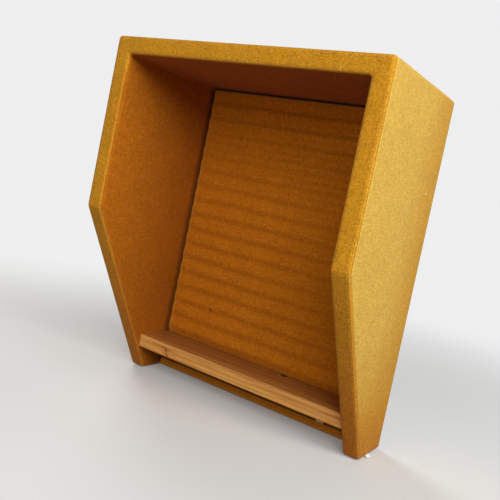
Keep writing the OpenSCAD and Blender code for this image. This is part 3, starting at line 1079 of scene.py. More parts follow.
@dataclass
class FrontBand:
    """Felt over the foam nose: one run along the free edges of both sides and the top.

    The cross-section is a U whose two corners are rounded. Its path starts behind the heel, goes
    under the foot, round the toe, up the slope, round the knee, up to the corner and along the top.
    The right-hand edge of each side is a seam: its corner is tighter, a short groove runs beside the
    stitches, and the seam allowance lifts a narrow strip.
    """

    shape: HoodShape
    crown: float = 0.0009
    strip_width: float = 0.0095
    strip_lift: float = 0.0005
    strip_end: float = 0.0006
    groove: float = 0.0003
    groove_place: float = 0.001
    seam_squareness: float = 0.62
    seam_fade: float = 0.03
    stitch: float = 0.0062
    stitch_place: float = 0.0004
    worn_place: float = 0.0075
    worn_width: float = 0.0042
    # Height over the foot, and span, of the painted shade that deepens towards the feet.
    shaded_height: float = 0.44
    shaded_span: float = 0.40
    fine_zone: float = 0.011
    leg_steps: int = 2
    corner_points: int = 13

    def section(self, outer_power: Array, inner_power: Array) -> tuple[Array, Array, Array]:
        """Cross-sections of the band, one for each row.

        A corner is a quarter of a superellipse: 1 less a power of the cosine, and of the sine, of the
        angle. The power is 1 for a circle and smaller for a tighter corner.

        Args:
            outer_power: (rows, 1) powers of the corner at the outer edge.
            inner_power: (rows, 1) powers of the corner at the inner edge.

        Returns:
            (rows, columns) arrays of the distance in from the outer edge, of the depth under the
            surface, and of how much of the crown a point takes.
        """
        s = self.shape
        r = s.edge_radius
        angle = quarter(self.corner_points)[None, :]
        low, high = np.cos(angle), np.sin(angle)
        low[0, -1] = 0.0
        leg = np.linspace(s.leg, r, self.leg_steps + 1)[None, :-1] + 0 * outer_power
        near, far, end = r + self.fine_zone, s.panel - r - self.fine_zone, s.panel - r
        flat = joined_spans((r, near, 9), (near, far, 6), (far, end, 9))[None, 1:-1] + 0 * outer_power
        inset = np.hstack([
            0 * leg, r * (1 - low**outer_power), flat, s.panel - r * (1 - high**inner_power),
            s.panel + 0 * leg,
        ])
        depth = np.hstack([
            leg, r * (1 - high**outer_power), 0 * flat, r * (1 - low**inner_power), leg[:, ::-1],
        ])
        middle = 1 - ((inset - s.panel / 2) / (s.panel / 2)) ** 2
        return inset, depth, np.clip(middle, 0, 1) * (depth < 1e-6)

    def leg_path(self) -> tuple[Array, Array, Array, Array]:
        """Path of the free edge from the heel to the top of the knee.

        Returns:
            y, z, and the two parts of the inward normal, each a (rows, 1) array.
        """
        s = self.shape
        heel = quarter(9)
        toe_y, toe_z = s.profile(0.0, 0)
        knee_y, knee_z = s.profile(0.0, 1)
        under = np.linspace(-s.leg, toe_y[0], 20)[1:-1]
        climb = np.linspace(0, 1, 110)[1:-1]
        climb_y = toe_y[-1] + (knee_y[0] - toe_y[-1]) * climb
        climb_z = toe_z[-1] + (knee_z[0] - toe_z[-1]) * climb
        toe = np.linspace(math.pi / 2, s.slope, s.bend_points)
        knee = np.linspace(s.slope, 0, s.bend_points)
        y = [-s.leg * (1 - np.cos(heel)), under, toe_y, climb_y, knee_y]
        z = [s.foot + s.leg * (1 - np.sin(heel)), s.foot + 0 * under, toe_z, climb_z, knee_z]
        turns = [math.pi - heel, math.pi / 2 + 0 * under, toe, s.slope + 0 * climb, knee]
        y, z, normal = (np.concatenate(parts)[:, None] for parts in (y, z, turns))
        return y, z, np.cos(normal), np.sin(normal)

    def half(self, seam_outside: bool) -> list[Array]:
        """The band from the left foot to the middle of the top.

        Args:
            seam_outside: whether the seam is on the outer edge, instead of the inner one.

        Returns:
            The (rows, columns, 3) points, the outward directions times the crown's share, each row's
            share of the seam, the distance in from the seam and the distance across the band.
        """
        s = self.shape
        y, z, normal_y, normal_z = self.leg_path()
        walk = stages(96, 13, 80)
        knee_top = z[-1, 0]
        reach = s.top - s.frame_radius - knee_top
        seam = np.concatenate([0 * y + 1, part_of((0.94 - walk) * reach, self.seam_fade)])
        tight, plain = 1 + (self.seam_squareness - 1) * seam, 1 + 0 * seam
        inset, depth, crown = self.section(*((tight, plain) if seam_outside else (plain, tight)))
        low_inset, low_depth, low_crown = (part[:len(y)] for part in (inset, depth, crown))
        inset, depth, crown = (part[len(y):] for part in (inset, depth, crown))
        low = spread(low_inset - s.half_width, y + normal_y * low_depth, z + normal_z * low_depth)
        low_out = spread(0 * low_inset, -normal_y * low_crown, -normal_z * low_crown)
        x, up = s.frame_point(inset, walk)
        up = np.where(walk <= 1, knee_top + (reach - inset) * walk, up)
        points = np.concatenate([low, spread(x, s.front + depth, up)])
        out = np.concatenate([low_out, spread(0 * x, -crown, 0 * x)])
        unrolled = run_length(points, 1)
        corner = self.leg_steps + self.corner_points // 2
        inward = 1 if seam_outside else -1
        from_seam = (unrolled - unrolled[:, corner if seam_outside else -1 - corner, None]) * inward
        return [points, out, seam, from_seam, unrolled]

    def build(self) -> None:
        """Builds the band in felt, with its seams."""
        left = self.half(seam_outside=False)
        right = [part[-2::-1] for part in self.half(seam_outside=True)]
        for part in right[:2]:
            part[..., 0] *= -1
        points, out, seam, from_seam, unrolled = (np.concatenate(pair) for pair in zip(left, right))
        along = run_length(points, 0)[:, points.shape[1] // 2, None]
        strip = 1 / (1 + np.exp((from_seam - self.strip_width) / self.strip_end))
        strip = np.where(from_seam > self.groove_place, strip, 0)
        groove = self.groove * bell(from_seam - self.groove_place, 0.001)
        lift = seam * (self.strip_lift * strip - groove)
        wander = 0.00022 * np.sin(along * 31 + unrolled * 40) + 0.00014 * np.sin(along * 83 + 1.3)
        size = np.linalg.norm(out, axis=-1, keepdims=True)
        direction = np.where(size > 0, out / np.maximum(size, 1e-9), 0)
        points = points + out * (self.crown + wander)[..., None] + direction * lift[..., None]
        masks = self.masks(points, seam, from_seam, unrolled, along)
        cloth = spread(along, unrolled)
        band = sheet_piece("front_band_felt", points, (0, -1, 0.2), cloth, masks, "outer felt")
        thicken(band, FELT_THICKNESS)
        hand_in(band, Slot.OUTER_FELT, "front_band_cover")

    def masks(
        self, points: Array, seam: Array, from_seam: Array, unrolled: Array, along: Array
    ) -> dict[str, Array]:
        """Fuzz on the edges and stitches, and painted shade beside the seam, on the left band's inner leg
        and deepening towards the feet.

        Args:
            points: the band's points.
            seam: each row's share of the seam.
            from_seam: distance in from the seam.
            unrolled: distance across the band.
            along: distance along the band.

        Returns:
            The masks by name.
        """
        worn = np.maximum(
            bell(unrolled - self.worn_place, self.worn_width),
            bell(unrolled[:, -1:] - unrolled - self.worn_place, self.worn_width),
        )
        stitches = 0.6 + 0.4 * np.sin(along * 2 * math.pi / self.stitch)
        at_stitches = bell(from_seam - self.stitch_place, 0.0009)
        at_strip_end = bell(from_seam - self.strip_width, 0.0011)
        # Painted shade in the groove beside the stitches and at the strip's end.
        beside = bell(from_seam - 0.0022, 0.0008)
        in_strip = bell(from_seam - self.strip_width + 0.0018, 0.0009)
        # Painted shade, deeper towards the feet.
        low = part_of(self.shaded_height - points[..., 2] + self.shape.foot, self.shaded_span)
        # Painted shade on the left band's inner leg, beside its seam.
        behind = 0.75 * part_of(-from_seam - self.stitch_place, 0.002)
        turned = 0.40 * part_of(self.strip_width + 0.001 - from_seam, 0.003)
        left_seam_shade = seam * np.maximum(behind, turned) * (points[..., 0] < 0)
        fuzz = 0.12 * worn + seam * stitches * (0.5 * at_stitches + 0.42 * at_strip_end)
        return {
            "fuzz": np.clip(fuzz, 0, 1),
            "crease": 0.3 * seam * (beside + 0.5 * in_strip),
            "brushed": 0.04 - 0.9 * low - left_seam_shade,
        }


@dataclass
class OuterFelt:
    """Felt over the outside of both sides and the top, turned in over the back as a hem.

    Each row crosses the felt from the hem's edge over the rear edge to the seam with the front band.
    The rows run from the left foot up, over the top and down to the right foot.
    """

    shape: HoodShape
    hem: float = 0.038
    hem_fold: float = 0.002
    rear_radius: float = 0.006
    crown: float = 0.0010
    pad_reach: float = 0.03
    # Reach from the front edge of the painted light, and height over the foot of the painted shade.
    light_depth: float = 0.19
    shade_height: float = 0.16

    def build(self) -> None:
        """Builds the sheet in felt."""
        s, r = self.shape, self.rear_radius
        walk = s.felt_walk(s.top - s.foot, 60)
        angle = quarter(8)[::-1]
        fold = self.hem - self.hem_fold
        back = joined_spans((self.hem, fold, 3), (fold, r, 8))[:-1]
        share = np.linspace(0, 1, 58)[1:]
        inset = np.concatenate([back, r * (1 - np.cos(angle)), 0 * share])
        turned = len(back) + len(angle)
        x, z = s.frame_point(inset, walk)
        at_edge = s.frame_point(np.zeros(1), walk)[1]
        z = np.where(walk < 1, np.minimum(at_edge, z + (at_edge - z) * (1 - np.clip(walk, 0, 1))), z)
        front = s.front_line(at_edge, s.leg)
        y = np.concatenate([0 * back, -r * (1 - np.sin(angle)), 0 * share])[None, :] + 0 * z
        y[:, turned:] = -r + share * (front + r)
        points = both_halves(spread(x, y, z))
        columns = points.shape[1]
        on_side = np.arange(columns)[None, :] >= turned
        seam = np.abs(points[..., 1] - both_halves(front))
        edge = least(seam, points[..., 2] - s.foot - s.leg, -points[..., 1])
        along, across = run_length(points, 0)[:, columns // 2, None], run_length(points, 1)
        slack = 0.00025 * np.sin(along * 17 + 2 * across) * np.sin(across * 23 + 0.7)
        slack = slack + 0.00012 * np.sin(along * 47)
        pad = on_side * (self.crown * puff(edge, self.pad_reach) + part_of(edge, self.pad_reach) * slack)
        points = points + s.outward(walk) * pad[..., None]
        corner = both_halves(bell((walk - 1.5) * 0.012, 0.006)) * on_side
        masks = self.masks(points, across, corner)
        felt = sheet_piece("outer_felt", points, (-1, 0, 0), spread(along, across), masks, "outer felt")
        thicken(felt, FELT_THICKNESS)
        hand_in(felt, Slot.OUTER_FELT, "left_outer_cover", "right_outer_cover", "top_outer_cover")

    def masks(self, points: Array, across: Array, corner: Array) -> dict[str, Array]:
        """Fuzz on the rear edge, the top corners and the hem's edge, and painted light: a paler nap
        towards the front edge and up high, and painted shade near the foot.

        Args:
            points: the felt's points.
            across: distance from the hem's edge.
            corner: how near a point is to a top corner, from 0 to 1.

        Returns:
            The masks by name.
        """
        rear = bell(across - self.hem + 0.0015, 0.0045)
        height = points[..., 2] - self.shape.foot
        # Painted light: paler towards the front edge and up high.
        light_share = 0.30 + 0.70 * part_of(-points[..., 1], self.light_depth) ** 1.3
        # Painted shade, deeper near the foot.
        darker_share = part_of(self.shade_height - height, 0.14)
        return {
            "fuzz": np.clip(np.maximum(rear, corner) * 0.5 + 0.9 * bell(across, 0.0012), 0, 1),
            "crease": 0 * across,
            "brushed": light_share * part_of(height - 0.03, 0.30) - 0.5 * darker_share,
        }


@dataclass
class InnerFelt:
    """Felt over the inside of both sides and the ceiling, in one run round the two inner corners."""

    shape: HoodShape
    crown: float = 0.0007
    pad_reach: float = 0.03
    # Where the painted shade of the slots starts and fades in, and how strong it is on the ceiling.
    shelf_top: float = 0.125
    slot_shade_front: float = 0.078
    slot_shade_fade: float = 0.014
    ceiling_slot_shade: float = 0.3
    middle_column: int = 30

    def build(self) -> None:
        """Builds the sheet in felt, with painted shade in the slots beside and over the insert."""
        s = self.shape
        walk = s.felt_walk(s.top - s.foot - s.panel, 55)
        x, z = s.frame_point(np.full((1, 1), s.panel), walk)
        reach = s.front_line(z, s.leg) - s.board_front
        y = s.board_front + np.linspace(0, 1, 2 * self.middle_column) * reach
        points = both_halves(spread(x, y, z))
        seam = np.abs(points[..., 1] - points[:, -1:, 1])
        over_shelf = np.maximum(points[..., 2] - s.foot - self.shelf_top, 0)
        edge = least(seam, over_shelf, s.board_front - points[..., 1])
        along, across = run_length(points, 0)[:, self.middle_column, None], run_length(points, 1)
        slack = 0.0003 * np.sin(along * 19 + 1.0) * np.sin(across * 21)
        pad = self.crown * puff(edge, self.pad_reach) + part_of(edge, 0.04) * slack
        points = points - s.outward(walk) * pad[..., None]
        # Painted shade in the slots beside and over the insert, weaker on the ceiling.
        beside = np.where(points[..., 2] < s.top - s.panel - 0.012, 1.0, self.ceiling_slot_shade)
        slot = beside * part_of(points[..., 1] + self.slot_shade_front, self.slot_shade_fade)
        masks = {"fuzz": 0 * across, "crease": 0.05 + 0.8 * slot, "brushed": 0 * across - 0.1}
        felt = sheet_piece("inner_felt", points, (1, 0, 0), spread(along, across), masks, "inner felt")
        thicken(felt, FELT_THICKNESS)
        hand_in(felt, Slot.INNER_FELT, "left_inner_cover", "right_inner_cover", "top_inner_cover")


@dataclass
class RippledInsert:
    """Padded insert whose face has smooth horizontal ridges, with a hollow between each two.

    The face's depth is a cosine of the height, less a quarter circle at each edge, on a rectangle
    with round corners. A skirt runs back from the face's rim and turns in behind as a hem. How far
    the felt swells between its hollows comes from a short cloth simulation.
    """

    low: Vector
    high: Vector
    pitch: float = 0.0462
    depth: float = 0.005
    first_hollow: float = 0.0325
    edge_radius: float = 0.006
    corner_radius: float = 0.008
    shallow_width: float = 0.028
    shallow_share: float = 0.45
    hem: float = 0.025
    hem_fold: float = 0.0015
    foot_drop: float = 0.0018
    ridges: int = 17
    steps: int = 8
    columns: int = 60
    face_columns: int = 101
    face_rows: int = 216
    cloth_frames: int = 20
    pressure: float = 120.0
    stiffness: float = 1.0
    bending: float = 0.02
    most_swell: float = 0.0032
    # Strength of the painted shade on the upper slopes, and where in the ridge it lies.
    ridge_shade: float = 0.32
    ridge_shade_phase: float = 0.76
    swelling: Array = field(default_factory=lambda: np.full((17, 60), 0.0027))

    @classmethod
    def from_frame(cls) -> "RippledInsert":
        """Reads the insert's box from the CAD frame, and lets the felt hang a little under it."""
        low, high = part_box("insert_cover")
        return cls(Vector((low.x, low.y, low.z - cls.foot_drop)), high)

    @property
    def middle(self) -> tuple[float, float]:
        """x and z of the insert's middle."""
        return (self.low.x + self.high.x) / 2, (self.low.z + self.high.z) / 2

    @property
    def half(self) -> tuple[float, float]:
        """Half the insert's width and height."""
        return (self.high.x - self.low.x) / 2, (self.high.z - self.low.z) / 2

    def rim_samples(self, start: float, end: float, count: int) -> Array:
        """Places from one edge to the other, closer together in the rounding of each edge.

        Args:
            start: the first edge.
            end: the last edge.
            count: number of even places between the roundings, both ends counted.

        Returns:
            The places in order.
        """
        r = self.edge_radius
        turn = r * (1 - np.cos(quarter(6)))
        even = np.linspace(start + r, end - r, count)[1:-1]
        return np.concatenate([start + turn, even, end - turn[::-1]])

    def wander(self, x: Array, z: Array) -> Array:
        """How far a hollow lies under its even height."""
        return 0.0009 * np.sin(17 * x + 23 * z) + 0.0005 * np.sin(41 * x - 9 * z + 1.0)

    def phase(self, x: Array, z: Array) -> Array:
        """Height as a count of ridges from the lowest hollow, with whole numbers in the hollows."""
        lowest = self.high.z - self.first_hollow - (self.ridges - 1) * self.pitch
        return (z - lowest + self.wander(x, z)) / self.pitch

    def swell(self) -> None:
        """Presses a coarse copy of the rippled face out with Blender's cloth, held in its hollows.

        The copy has eight rows to a ridge. Each ridge's outward moves are fitted by one wave, 1 less
        the cosine of the phase, and the wave's height is kept for each ridge and column.
        """
        rows = self.steps * self.ridges
        x, row = np.meshgrid(np.linspace(self.low.x, self.high.x, self.columns), np.arange(rows))
        even = self.high.z - self.first_hollow + self.pitch * (row / self.steps - self.ridges + 1)
        ripple = (1 + np.cos(2 * math.pi * row / self.steps)) / 2
        points = spread(x, self.low.y + self.depth * ripple, even - self.wander(x, even))
        sheet = make_piece("swelling_felt", points, grid_faces(rows, self.columns)[:, ::-1])
        held = (row % self.steps == 0) | (even > self.high.z - 0.002)
        held[:, [0, -1]] = True
        moved = self.press(sheet, np.flatnonzero(held.ravel()))
        out = (points[..., 1] - moved.reshape(points.shape)[..., 1]).reshape(self.ridges, self.steps, -1)
        wave = 1 - ripple[:self.steps, 0]
        fitted = np.einsum("k,rkc->rc", wave, out) / (wave @ wave)
        self.swelling = np.clip(fitted, 0, self.most_swell)
        middle = self.swelling[[-1, 0], self.columns // 2]
        LOG.info("insert swells %.1f to %.1f mm along its middle", *(1000 * middle))

    def press(self, sheet: bpy.types.Object, held: Array) -> Array:
        """Runs the cloth on a sheet and takes the sheet away again.

        Args:
            sheet: the felt before it swells.
            held: numbers of the points that stay where they are.

        Returns:
            The (n, 3) points after the last step.
        """
        pins = sheet.vertex_groups.new(name="held")
        pins.add(held.tolist(), 1.0, "REPLACE")
        settings = sheet.modifiers.new("cloth", "CLOTH").settings
        settings.tension_stiffness = settings.compression_stiffness = self.stiffness
        settings.bending_stiffness = self.bending
        settings.use_pressure = True
        settings.uniform_pressure_force = self.pressure
        settings.effector_weights.gravity = 0.0
        settings.vertex_group_mass = pins.name
        for number in range(self.cloth_frames):
            bpy.context.scene.frame_set(number + 1)
        shown = sheet.evaluated_get(bpy.context.evaluated_depsgraph_get()).to_mesh()
        moved = np.empty(3 * len(shown.vertices), dtype=np.float32)
        shown.vertices.foreach_get("co", moved)
        bpy.data.objects.remove(sheet)
        bpy.context.scene.frame_set(1)
        return moved.reshape(-1, 3)

    def sink(self, x: Array, z: Array) -> Array:
        """Depth of the face under the CAD crests: a cosine of the phase, less the swelling's wave.

        Args:
            x: places across the face.
            z: heights.

        Returns:
            The depths.
        """
        phase = self.phase(x, z)
        ripple = (1 + np.cos(2 * math.pi * phase)) / 2
        ridge = np.clip(np.floor(phase), 0, self.ridges - 1).astype(int)
        place = (x - self.low.x) / (self.high.x - self.low.x) * (self.columns - 1)
        left = np.clip(np.floor(place), 0, self.columns - 2).astype(int)
        share = place - left
        swelling = self.swelling[ridge, left] * (1 - share) + self.swelling[ridge, left + 1] * share
        side = part_of(np.minimum(x - self.low.x, self.high.x - x), self.shallow_width)
        deep = self.shallow_share + (1 - self.shallow_share) * side
        return self.depth * deep * ripple - swelling * (1 - ripple)

    def round_corners(self, x: Array, z: Array) -> tuple[Array, Array]:
        """Draws the face's four square corners in, so that the lines round them are quarter circles.

        Args:
            x: places across the face.
            z: heights.

        Returns:
            Arrays of x and z.
        """
        c = self.corner_radius
        (middle_x, middle_z), (half_x, half_z) = self.middle, self.half
        beyond_x = np.abs(x - middle_x) - half_x + c
        beyond_z = np.abs(z - middle_z) - half_z + c
        in_corner = (beyond_x > 0) & (beyond_z > 0)
        shrink = np.maximum(beyond_x, beyond_z) / np.maximum(np.hypot(beyond_x, beyond_z), 1e-9)
        round_x = middle_x + np.sign(x - middle_x) * (half_x - c + beyond_x * shrink)
        round_z = middle_z + np.sign(z - middle_z) * (half_z - c + beyond_z * shrink)
        return np.where(in_corner, round_x, x), np.where(in_corner, round_z, z)

    def face(self) -> Array:
        """Makes the points of the rippled face.

        Returns:
            A (rows, columns, 3) grid, with its rows going up.
        """
        x, z = np.meshgrid(
            self.rim_samples(self.low.x, self.high.x, self.face_columns),
            self.rim_samples(self.low.z, self.high.z, self.face_rows),
        )
        r = self.edge_radius
        gap = least(x - self.low.x, self.high.x - x, z - self.low.z, self.high.z - z)
        drop = np.where(gap < r, r - np.sqrt(np.maximum(r**2 - (r - gap) ** 2, 0)), 0)
        y = self.low.y + self.sink(x, z) + drop
        x, z = self.round_corners(x, z)
        return spread(x, y, z)

    def skirt(self, rim: Array) -> Array:
        """Rings of points that run back from the face's rim and turn in behind as a hem.

        Args:
            rim: (n, 3) points of the rim, in order.

        Returns:
            A (rings, n, 3) array without the rim itself.
        """
        back = self.high.y
        share = np.linspace(0, 1, 9)[1:, None]
        wall = np.repeat(rim[None], len(share), axis=0)
        wall[..., 1] = rim[:, 1] + share * (back - self.hem_fold - rim[:, 1])
        to_middle = np.array([self.middle[0], back, self.middle[1]]) - rim
        inward = to_middle * np.array([1 / self.half[0], 0, 1 / self.half[1]])
        hem = np.stack([rim + inward * step for step in (self.hem_fold, 0.008, 0.016, self.hem)])
        hem[..., 1] = back
        return np.concatenate([wall, hem])

    def build(self) -> None:
        """Builds the insert's felt, swollen between its hollows, and dresses it."""
        self.swell()
        face = self.face()
        rows, columns = face.shape[:2]
        face = face.reshape(-1, 3)
        number = np.arange(len(face)).reshape(rows, columns)
        rim = np.concatenate([number[0, :-1], number[:-1, -1], number[-1, :0:-1], number[:0:-1, 0]])
        points = np.concatenate([face, self.skirt(face[rim]).reshape(-1, 3)])
        rings = np.concatenate([rim[None], np.arange(len(face), len(points)).reshape(-1, len(rim))])
        faces = np.concatenate([grid_faces(rows, columns)[:, ::-1], tube_faces(rings)])
        cloth, masks = points[:, [0, 2]], self.masks(points)
        pad = make_piece("rippled_insert_felt", points, faces, cloth, masks, "inner felt")
        thicken(pad, FELT_THICKNESS)
        hand_in(pad, Slot.INNER_FELT, "insert_cover")

    def masks(self, points: Array) -> dict[str, Array]:
        """Painted shade on the upper slopes of the high ridges and at the foot, and fuzz along the edges.

        Args:
            points: (n, 3) points of the felt.

        Returns:
            The masks by name.
        """
        x, y, z = points.T
        height = z - self.low.z
        # Painted shade on the upward slopes, strongest high up and to the right.
        on_slope = bell(np.mod(self.phase(x, z), 1) - self.ridge_shade_phase, 0.14)
        high_up = part_of(z + 0.5 * x - 0.02, 0.30) * (y < self.low.y + 0.012)
        # Painted shade at the foot.
        foot = 0.75 * (1 - part_of(height, 0.026)) ** 1.3
        gap = least(self.half[0] - np.abs(x - self.middle[0]), self.half[1] - np.abs(z - self.middle[1]))
        near = part_of(self.high.y - 0.02 - y, 0.01)
        fuzz = 0.7 * bell(np.maximum(gap - 0.003, 0), 0.005) * near * (height > 0.012)
        crease = np.maximum(self.ridge_shade * high_up * on_slope, foot) * (height > 0.0022)
        return {"fuzz": np.maximum(fuzz, bell(height, 0.0016) * near), "crease": np.clip(crease, 0, 1)}


@dataclass
class RailFelt:
    """Felt round the low rail: a U profile with two round corners, carried along X."""

    low: Vector
    high: Vector
    corner: float = 0.004
    crown: float = 0.0007
    crown_reach: float = 0.008
    worn_places: tuple[float, float] = (0.042, 0.057)

    @classmethod
    def from_frame(cls) -> "RailFelt":
        """Reads the rail's box from the CAD frame."""
        return cls(*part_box("rail_cover"))

    def build(self) -> None:
        """Builds the rail's felt."""
        low, high, r = self.low, self.high, self.corner
        near, far = r * (1 - np.cos(quarter(7))), r * (1 - np.sin(quarter(7)))
        top = np.linspace(high.y, low.y + r, 10)[:-1]
        front = np.linspace(high.z - r, low.z + r, 8)[1:-1]
        y = np.concatenate([top, low.y + far, low.y + 0 * front, low.y + near, top[::-1]])
        z = np.concatenate([high.z + 0 * top, high.z - near, front, low.z + far, low.z + 0 * top])
        x = np.linspace(low.x, high.x, 160)[:, None]
        points = spread(x, y, z)
        middle = 1 - part_of(np.abs(z - (low.z + high.z) / 2), self.crown_reach) ** 2
        points[..., 1] -= middle * (self.crown + 0.0002 * np.sin(x * 37))
        along, across = run_length(points, 0), run_length(points, 1)
        worn = np.maximum(*(bell(across - place, 0.004) for place in self.worn_places))
        masks = {"fuzz": 0.7 * worn, "crease": 0 * worn}
        cloth = spread(along, across)
        rail = sheet_piece("rail_felt", points, (0, -1, 0), cloth, masks, "inner felt")
        thicken(rail, FELT_THICKNESS)
        hand_in(rail, Slot.INNER_FELT, "rail_cover")


@dataclass
class SewnTabs:
    """Two folded loops of woven tape, one under the right side and one on the rail's upper edge.

    Each loop's path goes out of its seam, turns back in a half circle and returns.
    """

    width: float = 0.024
    gauge: float = 0.0005
    fold: float = 0.00045
    wide_points: int = 13

    def loop(
        self, seam: Vector, out: Vector, across: Vector, length: float
    ) -> tuple[Array, Array, Array]:
        """Surface of one loop of tape.

        Args:
            seam: the middle of the loop's root.
            out: the direction in which it stands out.
            across: the direction of the tape's width.
            length: how far it stands out.

        Returns:
            Points, faces and cloth places.
        """
        fold, straight_length = self.fold, length - self.fold
        turn = np.linspace(-math.pi / 2, math.pi / 2, 9)
        straight = np.linspace(0, 1, 8)[:-1]
        there = straight * straight_length
        reach = np.concatenate([there, straight_length + fold * np.cos(turn), there[::-1]])
        apart = np.concatenate([0 * straight - fold, fold * np.sin(turn), 0 * straight + fold])
        wide = np.linspace(-self.width / 2, self.width / 2, self.wide_points)[:, None]
        curl = 0.0003 * np.sin(wide * 90 + 0.6) * (reach / length)
        side = np.array(out.cross(across).normalized())
        points = np.array(seam) + reach[None, :, None] * np.array(out) + (apart + curl)[..., None] * side
        points = points + wide[..., None] * np.array(across)
        walk = np.concatenate([[0], np.cumsum(np.hypot(np.diff(reach), np.diff(apart)))])
        faces = grid_faces(self.wide_points, len(reach))
        return points.reshape(-1, 3), faces, spread(walk, wide).reshape(-1, 2)

    def build(self) -> None:
        """Builds both loops as one piece at the CAD tabs' places."""
        low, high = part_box("sewn_tabs")
        rail_low, rail_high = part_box("rail_cover")
        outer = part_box("front_band_cover")[1].x
        side_seam = Vector((outer - 0.002, low.y + self.width / 2, low.z + self.gauge + self.fold))
        side_out, side_across = Vector((1, 0, -0.3)).normalized(), Vector((0, 1, 0))
        rail_seam = Vector((low.x + self.width / 2, rail_low.y + 0.0042, rail_high.z - 0.0003))
        rail_out, rail_across = Vector((0, 0.15, 1)).normalized(), Vector((1, 0, 0))
        side = self.loop(side_seam, side_out, side_across, high.x - outer + 0.004)
        rail = self.loop(rail_seam, rail_out, rail_across, high.z - rail_high.z)
        points, faces, cloth = (np.concatenate(pair) for pair in zip(side, rail))
        count = len(side[0])
        faces[len(side[1]):] += count
        # The rail's tab is tan.
        darker_share = np.repeat([0.0, 1.0], [count, len(points) - count])
        tabs = make_piece("woven_tabs", points, faces, cloth, {"darker_share": darker_share}, "tab")
        thicken(tabs, self.gauge)
        hand_in(tabs, Slot.TAB, "sewn_tabs")


@dataclass
class BackCover:
    """Lining over the back board between the hems, with the wall fixing holes, and the hem's staples.

    The lining is a flat grid with a slow ripple between its edges. A staple's crown and legs are a
    round wire bent twice.
    """

    low: Vector
    high: Vector
    gauge: float = 0.0006
    stand_off: float = 0.0008
    slack: float = 0.0005
    hole_radius: float = 0.0045
    hole_place: tuple[float, float] = (0.28, 0.31)
    hole_sides: int = 32
    staple_crown: float = 0.0105
    staple_bend: float = 0.0006
    staple_rise: float = 0.0012
    staple_wire: float = 0.0006
    staple_step: float = 0.045
    staple_inset: float = 0.008
    wire_sides: int = 8

    @classmethod
    def from_frame(cls) -> "BackCover":
        """Reads the lining's box from the CAD frame."""
        return cls(*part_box("back_lining"))

    def build(self) -> None:
        """Builds the lining and its staples."""
        self.build_lining()
        self.build_staples()

    def build_lining(self) -> None:
        """Builds the lining with its four holes."""
        low, high = self.low, self.high
        x, z = np.meshgrid(np.linspace(low.x, high.x, 90), np.linspace(low.z, high.z, 110))
        edge = least(x - low.x, high.x - x, z - low.z, high.z - z)
        ripple = part_of(edge, 0.05) * (1 + 0.6 * np.sin(x * 9 + z * 4) * np.sin(z * 7 + 1))
        pull = 0.00025 * np.exp(-edge / 0.02) * np.sin((x + z) * 2 * math.pi / self.staple_step)
        points = spread(x, pull - self.stand_off - self.slack * ripple, z)
        lining = sheet_piece("back_dust_lining", points, (0, 1, 0), spread(x, z), {}, "lining")
        thicken(lining, self.gauge)
        self.cut_holes(lining)
        hand_in(lining, Slot.LINING, "back_lining")

    def cut_holes(self, lining: bpy.types.Object) -> None:
        """Cuts the four wall fixing holes into the lining with round bars.

        Args:
            lining: the lining, with its thickness still a modifier.
        """
        cutter = self.hole_cutter()
        cut = lining.modifiers.new("holes", "BOOLEAN")
        cut.operation = "DIFFERENCE"
        cut.solver = "EXACT"
        cut.object = cutter
        depsgraph = bpy.context.evaluated_depsgraph_get()
        finished = bpy.data.meshes.new_from_object(lining.evaluated_get(depsgraph), depsgraph=depsgraph)
        lining.modifiers.clear()
        lining.data = finished
        bpy.data.objects.remove(cutter)

    def hole_cutter(self) -> bpy.types.Object:
        """Makes four short round bars along Y that cut the fixing holes.

        Returns:
            The bars as one object.
        """
        sides, (hole_x, hole_z) = self.hole_sides, self.hole_place
        turn = np.linspace(0, 2 * math.pi, sides, endpoint=False)
        ring = self.hole_radius * spread(np.cos(turn), 0 * turn, np.sin(turn))
        ends = [(x, y, z) for x in (-hole_x, hole_x) for z in (-hole_z, hole_z) for y in (-0.01, 0.01)]
        points = np.concatenate([ring + np.array(end) for end in ends])
        faces = []
        for bar in np.arange(len(points)).reshape(-1, 2, sides):
            faces += [*tube_faces(bar).tolist(), bar[0].tolist(), bar[1, ::-1].tolist()]
        mesh = bpy.data.meshes.new("hole_cutter")
        mesh.from_pydata(points.tolist(), [], faces)
        cutter = bpy.data.objects.new("hole_cutter", mesh)
        bpy.context.scene.collection.objects.link(cutter)
        return cutter

    def staple(self) -> Array:
        """Makes one staple along X, whose wire goes up, over and down.

        Returns:
            A (places, sides, 3) array of points round the wire.
        """
        half, bend, wire = self.staple_crown / 2, self.staple_bend, self.staple_wire
        x = np.array([-half, -half, bend - half, half - bend, half, half])[:, None]
        y = np.array([0, 0.75, 1, 1, 0.75, 0])[:, None] * self.staple_rise
        lean = np.array([0, 0, 0.25, 0.75, 1, 1])[:, None] * math.pi
        round_wire = np.linspace(0, 2 * math.pi, self.wire_sides, endpoint=False)
        side = wire * np.cos(round_wire)
        return spread(x + side * np.cos(lean), y + side * np.sin(lean), wire * np.sin(round_wire))

    def build_staples(self) -> None:
        """Builds one row of staples along each hem."""
        side_x, top_z = self.high.x + self.staple_inset, self.high.z + self.staple_inset
        rows_z = np.arange(self.low.z + 0.03, self.high.z - 0.01, self.staple_step)
        rows_x = np.arange(0.05 - side_x, side_x - 0.03, self.staple_step)
        places = [(s * side_x, z, 90 + 14 * math.sin(7 * z)) for s in (-1, 1) for z in rows_z]
        places += [(x, top_z, 12 * math.sin(9 * x)) for x in rows_x]
        x, z, angle = np.array(places).T[..., None]
        wire_x, wire_y, wire_z = self.staple().reshape(-1, 3).T
        cos, sin = np.cos(np.radians(angle)), np.sin(np.radians(angle))
        points = spread(x + wire_x * cos - wire_z * sin, wire_y, z + wire_x * sin + wire_z * cos)
        rings = np.arange(points.size // 3).reshape(len(places), -1, self.wire_sides)
        faces = np.concatenate([tube_faces(one) for one in rings])
        hand_in(make_piece("hem_staples", points, faces, finish="steel"), Slot.STEEL)


